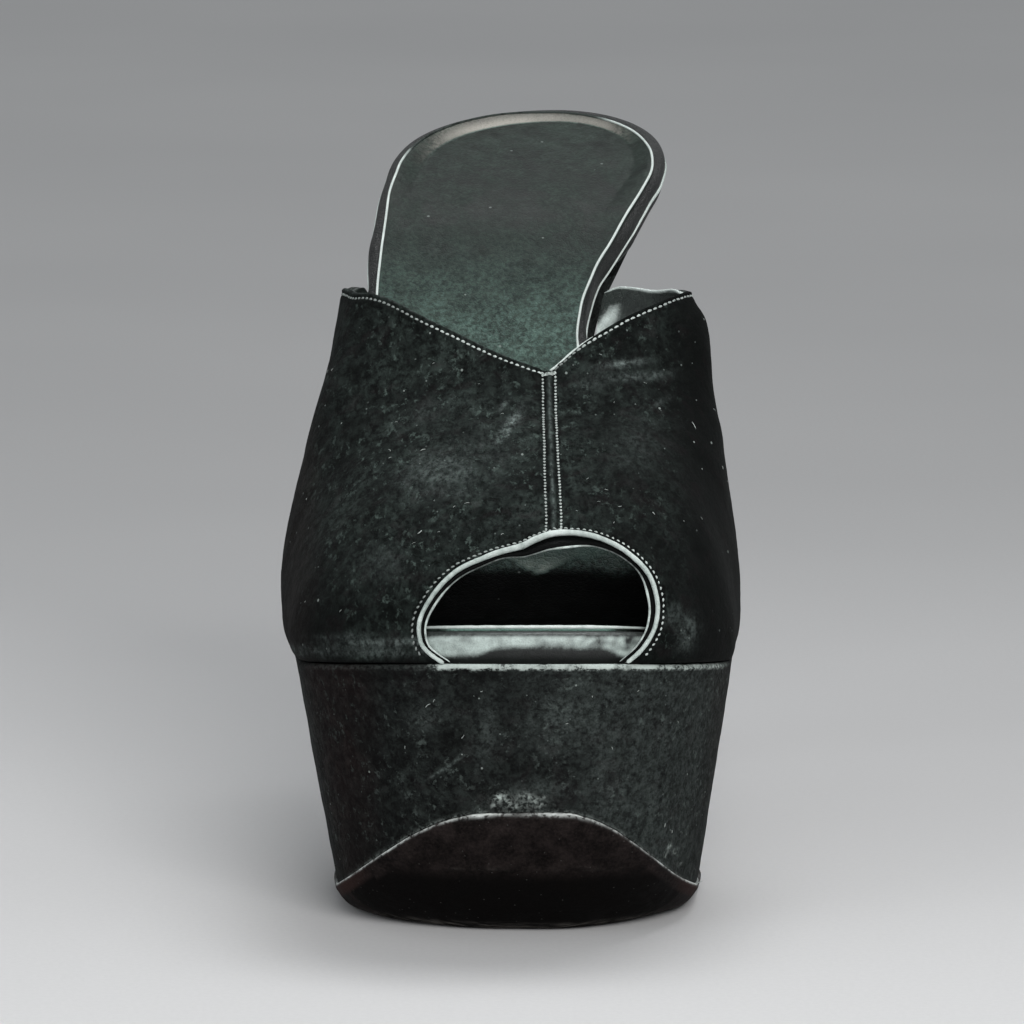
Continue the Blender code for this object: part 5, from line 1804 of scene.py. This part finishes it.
def heel_loops():
    share = np.concatenate([[0, 0.004, 0.012, 0.025, 0.045], np.sin(np.linspace(0.075, 1, 34) * math.pi / 2)])
    loops = []
    d = HEEL_FRONT + (LENGTH - 0.7 - HEEL_FRONT) * share
    sides = [outline(d, side, 1.6) for side in (-1, 1)]
    middle = (sides[0][1][-1] + sides[1][1][-1]) / 2
    ends = [(np.append(x[:-1], HEEL_CENTRE), np.append(at[:-1], middle)) for x, at in sides]
    first = loop_of(ends[0][0], ends[1][0], (ends[0][1] + ends[1][1]) / 2, rise((ends[0][1] + ends[1][1]) / 2), 10)
    down = np.linspace(0, HEEL["drop"][-1], 70)
    rest = []
    for drop in down:
        z, front, back, outer, inner = (float(read(HEEL, name, drop)) for name in ("z", "front", "back", "outer", "inner"))
        tilt = 0.30 * float(np.clip((z - 80) / 50, 0, 1))
        depth = back - front
        at = front + depth * share
        height = z + tilt * (at - (front + back) / 2)
        rest.append(loop_of(-outer * half_form(share, depth, outer), inner * half_form(share, depth, inner), at, height, 10))
    for t in np.linspace(0, 1, 12)[:-1]:
        loops.append(first * (1 - t) + rest[0] * t)
    return np.array(loops + rest)


def closed_loops(loops):
    """A closed body through loops of equal count, its two ends closed towards their middle."""
    levels, count = loops.shape[:2]
    points = [loops.reshape(-1, 3)]
    j = np.arange(count)
    quads, tris, total = [], [], levels * count
    for k in range(levels - 1):
        a, b = k * count + j, k * count + (j + 1) % count
        quads.append(np.stack([b, a, a + count, b + count], 1))
    for level, turn in ((0, 1), (levels - 1, -1)):
        ring = level * count + j
        loop = loops[level]
        centre = loop.mean(axis=0)
        for shrink in (0.8, 0.55, 0.3):
            points.append(centre + (loop - centre) * shrink)
            new = total + j
            total += count
            quads.append(np.stack([ring, np.roll(ring, -1), np.roll(new, -1), new], 1)[:, ::turn])
            ring = new
        points.append(centre[None])
        tris.append(np.stack([ring, np.roll(ring, -1), np.full(count, total)], 1)[:, ::turn])
        total += 1
    return np.concatenate(points), [np.concatenate(quads), np.concatenate(tris)]


def make_heel():
    loops = heel_loops()
    centre = loops.mean(axis=1, keepdims=True)
    out = loops - centre
    out[..., 2] = 0
    lump = 0.05 * layers(loops, 1.6, 111, 2) + 0.10 * noise(loops, 9.0, 112)
    calm = np.minimum(1, np.arange(len(loops)) / 6)[:, None] * np.minimum(1, np.arange(len(loops))[::-1] / 4)[:, None]
    # the cover's joint runs down the middle of the heel's front
    seam = bell(loops[..., 0], 0.0, 0.45) * (loops[..., 1] < centre[..., 1] - 6)
    loops = loops + unit(out) * ((lump - 0.22 * seam) * calm)[..., None]
    points, faces = closed_loops(loops)
    x, d, z = points.T
    masks = {
        "wear": np.clip(0.25 * bell(z, 6.2, 0.5) * (0.4 + noise(points, 2.0, 113)), 0, 1),
        "rub_and_lit": np.clip(0.18 * noise(points, 12.0, 114), 0, 1),
        "shade": np.clip(0.5 * bell(x, 0, 0.6) * (d < 180) + 0.35 * ease(z, 118, 134), 0, 1),
        "warm": np.full(len(points), 0.1),
    }
    make_piece("heel_wrap", points, faces, HEEL_SUEDE, masks, replaces=("heel",), sharp=50)


def make_top_lift():
    front, back, outer, inner = (HEEL[name][-1] for name in ("front", "back", "outer", "inner"))
    share = np.concatenate([[0, 0.004, 0.012, 0.025, 0.045], np.sin(np.linspace(0.075, 1, 34) * math.pi / 2)])
    loops = []
    for z, grow in ((5.6, -0.5), (5.6, 0.05), (5.5, 0.18), (5.2, 0.24), (4.4, 0.25), (2.9, 0.25), (2.8, 0.12), (2.6, 0.12),
                    (2.5, 0.26), (1.4, 0.28), (0.6, 0.28), (0.25, 0.2), (0.06, 0.02), (0.0, -0.3)):
        depth = back - front + 2 * grow
        at = front - grow + depth * share
        loops.append(loop_of(-(outer + grow) * half_form(share, depth, outer), (inner + grow) * half_form(share, depth, inner),
                             at, np.full_like(at, z), 10))
    points, faces = closed_loops(np.array(loops))
    masks = {"dust": np.clip(1 - points[:, 2] / 1.5, 0, 1)}
    make_piece("heel_lift", points, faces, RUBBER, masks, replaces=("top_lift",), sharp=50)


# ---- lint --------------------------------------------------------------------------------
FIBRES = (
    # on the vamp, by (x, d), length, heading in the front view (degrees), radius
    (34.4, 78.1, 2.0, 84, 0.075),
    (-21.3, 23.5, 1.3, 70, 0.10),
    (-21.0, 55.5, 1.2, 20, 0.08),
    (25.5, 31.0, 0.9, 100, 0.07),
    (18.7, 29.0, 0.8, 40, 0.06),
    (-28.0, 60.0, 1.4, 120, 0.05),
    (-12.0, 30.0, 1.1, 10, 0.05),
)


def make_lint(grid):
    """Short pale fibres and grains caught in the nap."""
    rng = np.random.default_rng(131)
    bodies = []
    lie = vamp_relief(grid.points, grid.to_front, grid.to_back, grid.to_edge)
    surface = grid.points + grid.normal * (lie + 0.06)[..., None]
    flat = surface.reshape(-1, 3)
    normals = grid.normal.reshape(-1, 3)

    def fibre(place, normal, length, heading, radius):
        a = math.radians(heading)
        toward = np.array([math.cos(a), 0.25 * math.sin(a), math.sin(a)])
        toward = unit(toward - (toward * normal).sum() * normal)
        side = np.cross(normal, toward)
        t = np.linspace(-0.5, 0.5, 7)
        bend = rng.normal(0, 0.16) * length
        path = place + toward * (t * length)[:, None] + side * (bend * (4 * t**2))[:, None]
        path = path + normal * (0.05 + 0.05 * np.cos(t * 5))[:, None]
        bodies.append(tube(path, np.tile(normal, (7, 1)), radius, radius, 6, taper=length * 0.3))

    for x, d, length, heading, radius in FIBRES:
        k = np.argmin((flat[:, 0] - x) ** 2 + (flat[:, 1] - d) ** 2)
        fibre(flat[k], normals[k], length, heading, radius)
    inner = np.arange(30, grid.columns - 30)
    for _ in range(46):
        i, j = rng.integers(16, grid.rows - 16), rng.choice(inner)
        if abs(surface[i, j, 0] - 5) < 4:
            continue
        fibre(surface[i, j], grid.normal[i, j], rng.uniform(0.25, 0.9), rng.uniform(0, 180), rng.uniform(0.025, 0.05))
    # on the platform's front and sides
    for x, z, length, heading, radius in (
        (-19.6, 49.2, 1.4, 35, 0.07), (-18.4, 50.2, 0.8, 60, 0.05), (-12.6, 43.0, 1.0, 50, 0.05), (8.0, 46.0, 0.7, 15, 0.045),
        (17.0, 40.5, 0.8, 120, 0.045), (-24.0, 40.0, 0.7, 80, 0.045), (22.0, 52.0, 0.6, 30, 0.045), (-9.0, 52.5, 0.5, 10, 0.05),
        (30.0, 44.0, 0.6, 140, 0.04), (13.0, 51.5, 0.5, 100, 0.045), (27.5, 22.5, 0.9, 75, 0.06), (29.0, 20.6, 0.7, 110, 0.06),
    ):
        side = -1 if x < TOE_CENTRE else 1
        rows = toe_rows(60.0, 300, 100)
        top_x, top_d = outline(rows, side)
        low_x, low_d = tread_edge(rows, side)
        top_z, low_z = rise(top_d), lip(low_d, side)
        t = (top_z - z) / (top_z - low_z)
        wall_x, wall_d = top_x + (low_x - top_x) * t, top_d + (low_d - top_d) * t
        k = np.argmin(np.abs(wall_x - x))
        k = min(max(k, 2), len(rows) - 3)
        tangent = unit(np.array([wall_x[k + 2] - wall_x[k - 2], wall_d[k + 2] - wall_d[k - 2], 0.0]))
        normal = np.cross(tangent, [0, 0, 1.0])
        if normal[1] > 0:
            normal = -normal
        place = np.array([wall_x[k], wall_d[k], z]) + normal * 0.08
        fibre(place, normal, length, heading, radius)
    fibre(np.array([34.7, 27.0, 8.7]), np.array([0, -1.0, 0]), 1.9, 28, 0.06)
    fibre(np.array([34.5, 26.6, 9.2]), np.array([0, -1.0, 0]), 1.2, 75, 0.05)
    points, faces = join(bodies)
    make_piece("lint", points, faces, THREAD, {"pale": np.full(len(points), 0.75)}, sharp=0)


# ---- stage, camera and light -------------------------------------------------------------
def make_stage():
    """A plain pale floor, wide enough for every view, gently mottled."""
    steps = np.concatenate([-np.geomspace(0.1, 9, 24)[::-1], [0], np.geomspace(0.1, 9, 24)])
    x, y = np.meshgrid(steps, steps)
    mesh = bpy.data.meshes.new("floor")
    points = np.stack([x.ravel(), y.ravel(), np.zeros(x.size)], 1)
    mesh.from_pydata(points.tolist(), [], grid_faces(len(steps), len(steps)).tolist())
    mesh.validate()
    floor = bpy.data.objects.new("floor", mesh)
    bpy.context.scene.collection.objects.link(floor)
    n = Nodes("floor")
    cloud = n.noise(420.0, 3.0, 0.5)
    grain = n.noise(1.2, 2.0, 0.6)
    colour = n.mix(n.span(cloud, 0.3, 0.7), (0.560, 0.558, 0.562), (0.600, 0.598, 0.600))
    colour = n.mix(n.span(grain, 0.3, 0.7, 0.0, 0.35), colour, (0.545, 0.543, 0.546))
    mesh.materials.append(n.done(colour, n.span(cloud, 0.3, 0.7, 0.70, 0.80), n.bump(grain, 0.15, 0.1), Specular_IOR_Level=0.2))


def add_light(name, place, target, size, power, colour, spread=180):
    light = bpy.data.lights.new(name, "AREA")
    light.shape = "RECTANGLE"
    light.size, light.size_y = size
    light.energy = power
    light.spread = math.radians(spread)
    light.color = colour
    lamp = bpy.data.objects.new(name, light)
    lamp.location = place
    way = np.array(target) - np.array(place)
    flat = math.hypot(way[0], way[1])
    lamp.rotation_euler = (math.atan2(flat, -way[2]), 0, math.atan2(-way[0], way[1]) if flat else 0)
    bpy.context.scene.collection.objects.link(lamp)


def make_camera():
    camera = bpy.data.cameras.new("camera")
    camera.lens = 257.15
    camera.sensor_width = 36
    camera.shift_x = -14.6 / 1024
    camera.shift_y = -19.0 / 1024
    camera.clip_start, camera.clip_end = 0.05, 60
    camera.dof.use_dof = False
    view = bpy.data.objects.new("camera", camera)
    view.location = put(np.array([0.0, -1416.2, 316.7]))
    view.rotation_euler = (math.radians(81), 0, 0)
    bpy.context.scene.collection.objects.link(view)
    bpy.context.scene.camera = view


def make_light():
    world = bpy.data.worlds.new("studio")
    world.use_nodes = True
    world.node_tree.nodes["Background"].inputs["Color"].default_value = (0.90, 0.93, 0.95, 1)
    world.node_tree.nodes["Background"].inputs["Strength"].default_value = 0.41
    bpy.context.scene.world = world
    add_light("top", (0.20, 0.35, 1.30), (0, -0.45, 0.0), (0.9, 0.6), 1.75, (0.98, 0.99, 1.0), 60)
    add_light("front", (0.60, -2.1, 1.45), (0, 0, 0.06), (1.4, 1.0), 41, (1.0, 0.99, 0.98))
    add_light("left", (-1.7, -1.3, 1.1), (0, 0, 0.06), (1.2, 1.2), 7, (0.95, 0.98, 1.0))
    bpy.context.scene.view_settings.view_transform = "Standard"


vamp_grid = make_vamp()
make_lining()
make_binding(vamp_grid)
make_stitches(vamp_grid)
make_platform()
make_sole()
make_footbed()
make_beads(make_sock())
make_heel()
make_top_lift()
make_lint(vamp_grid)
make_stage()
make_camera()
make_light()

bpy.context.view_layer.update()
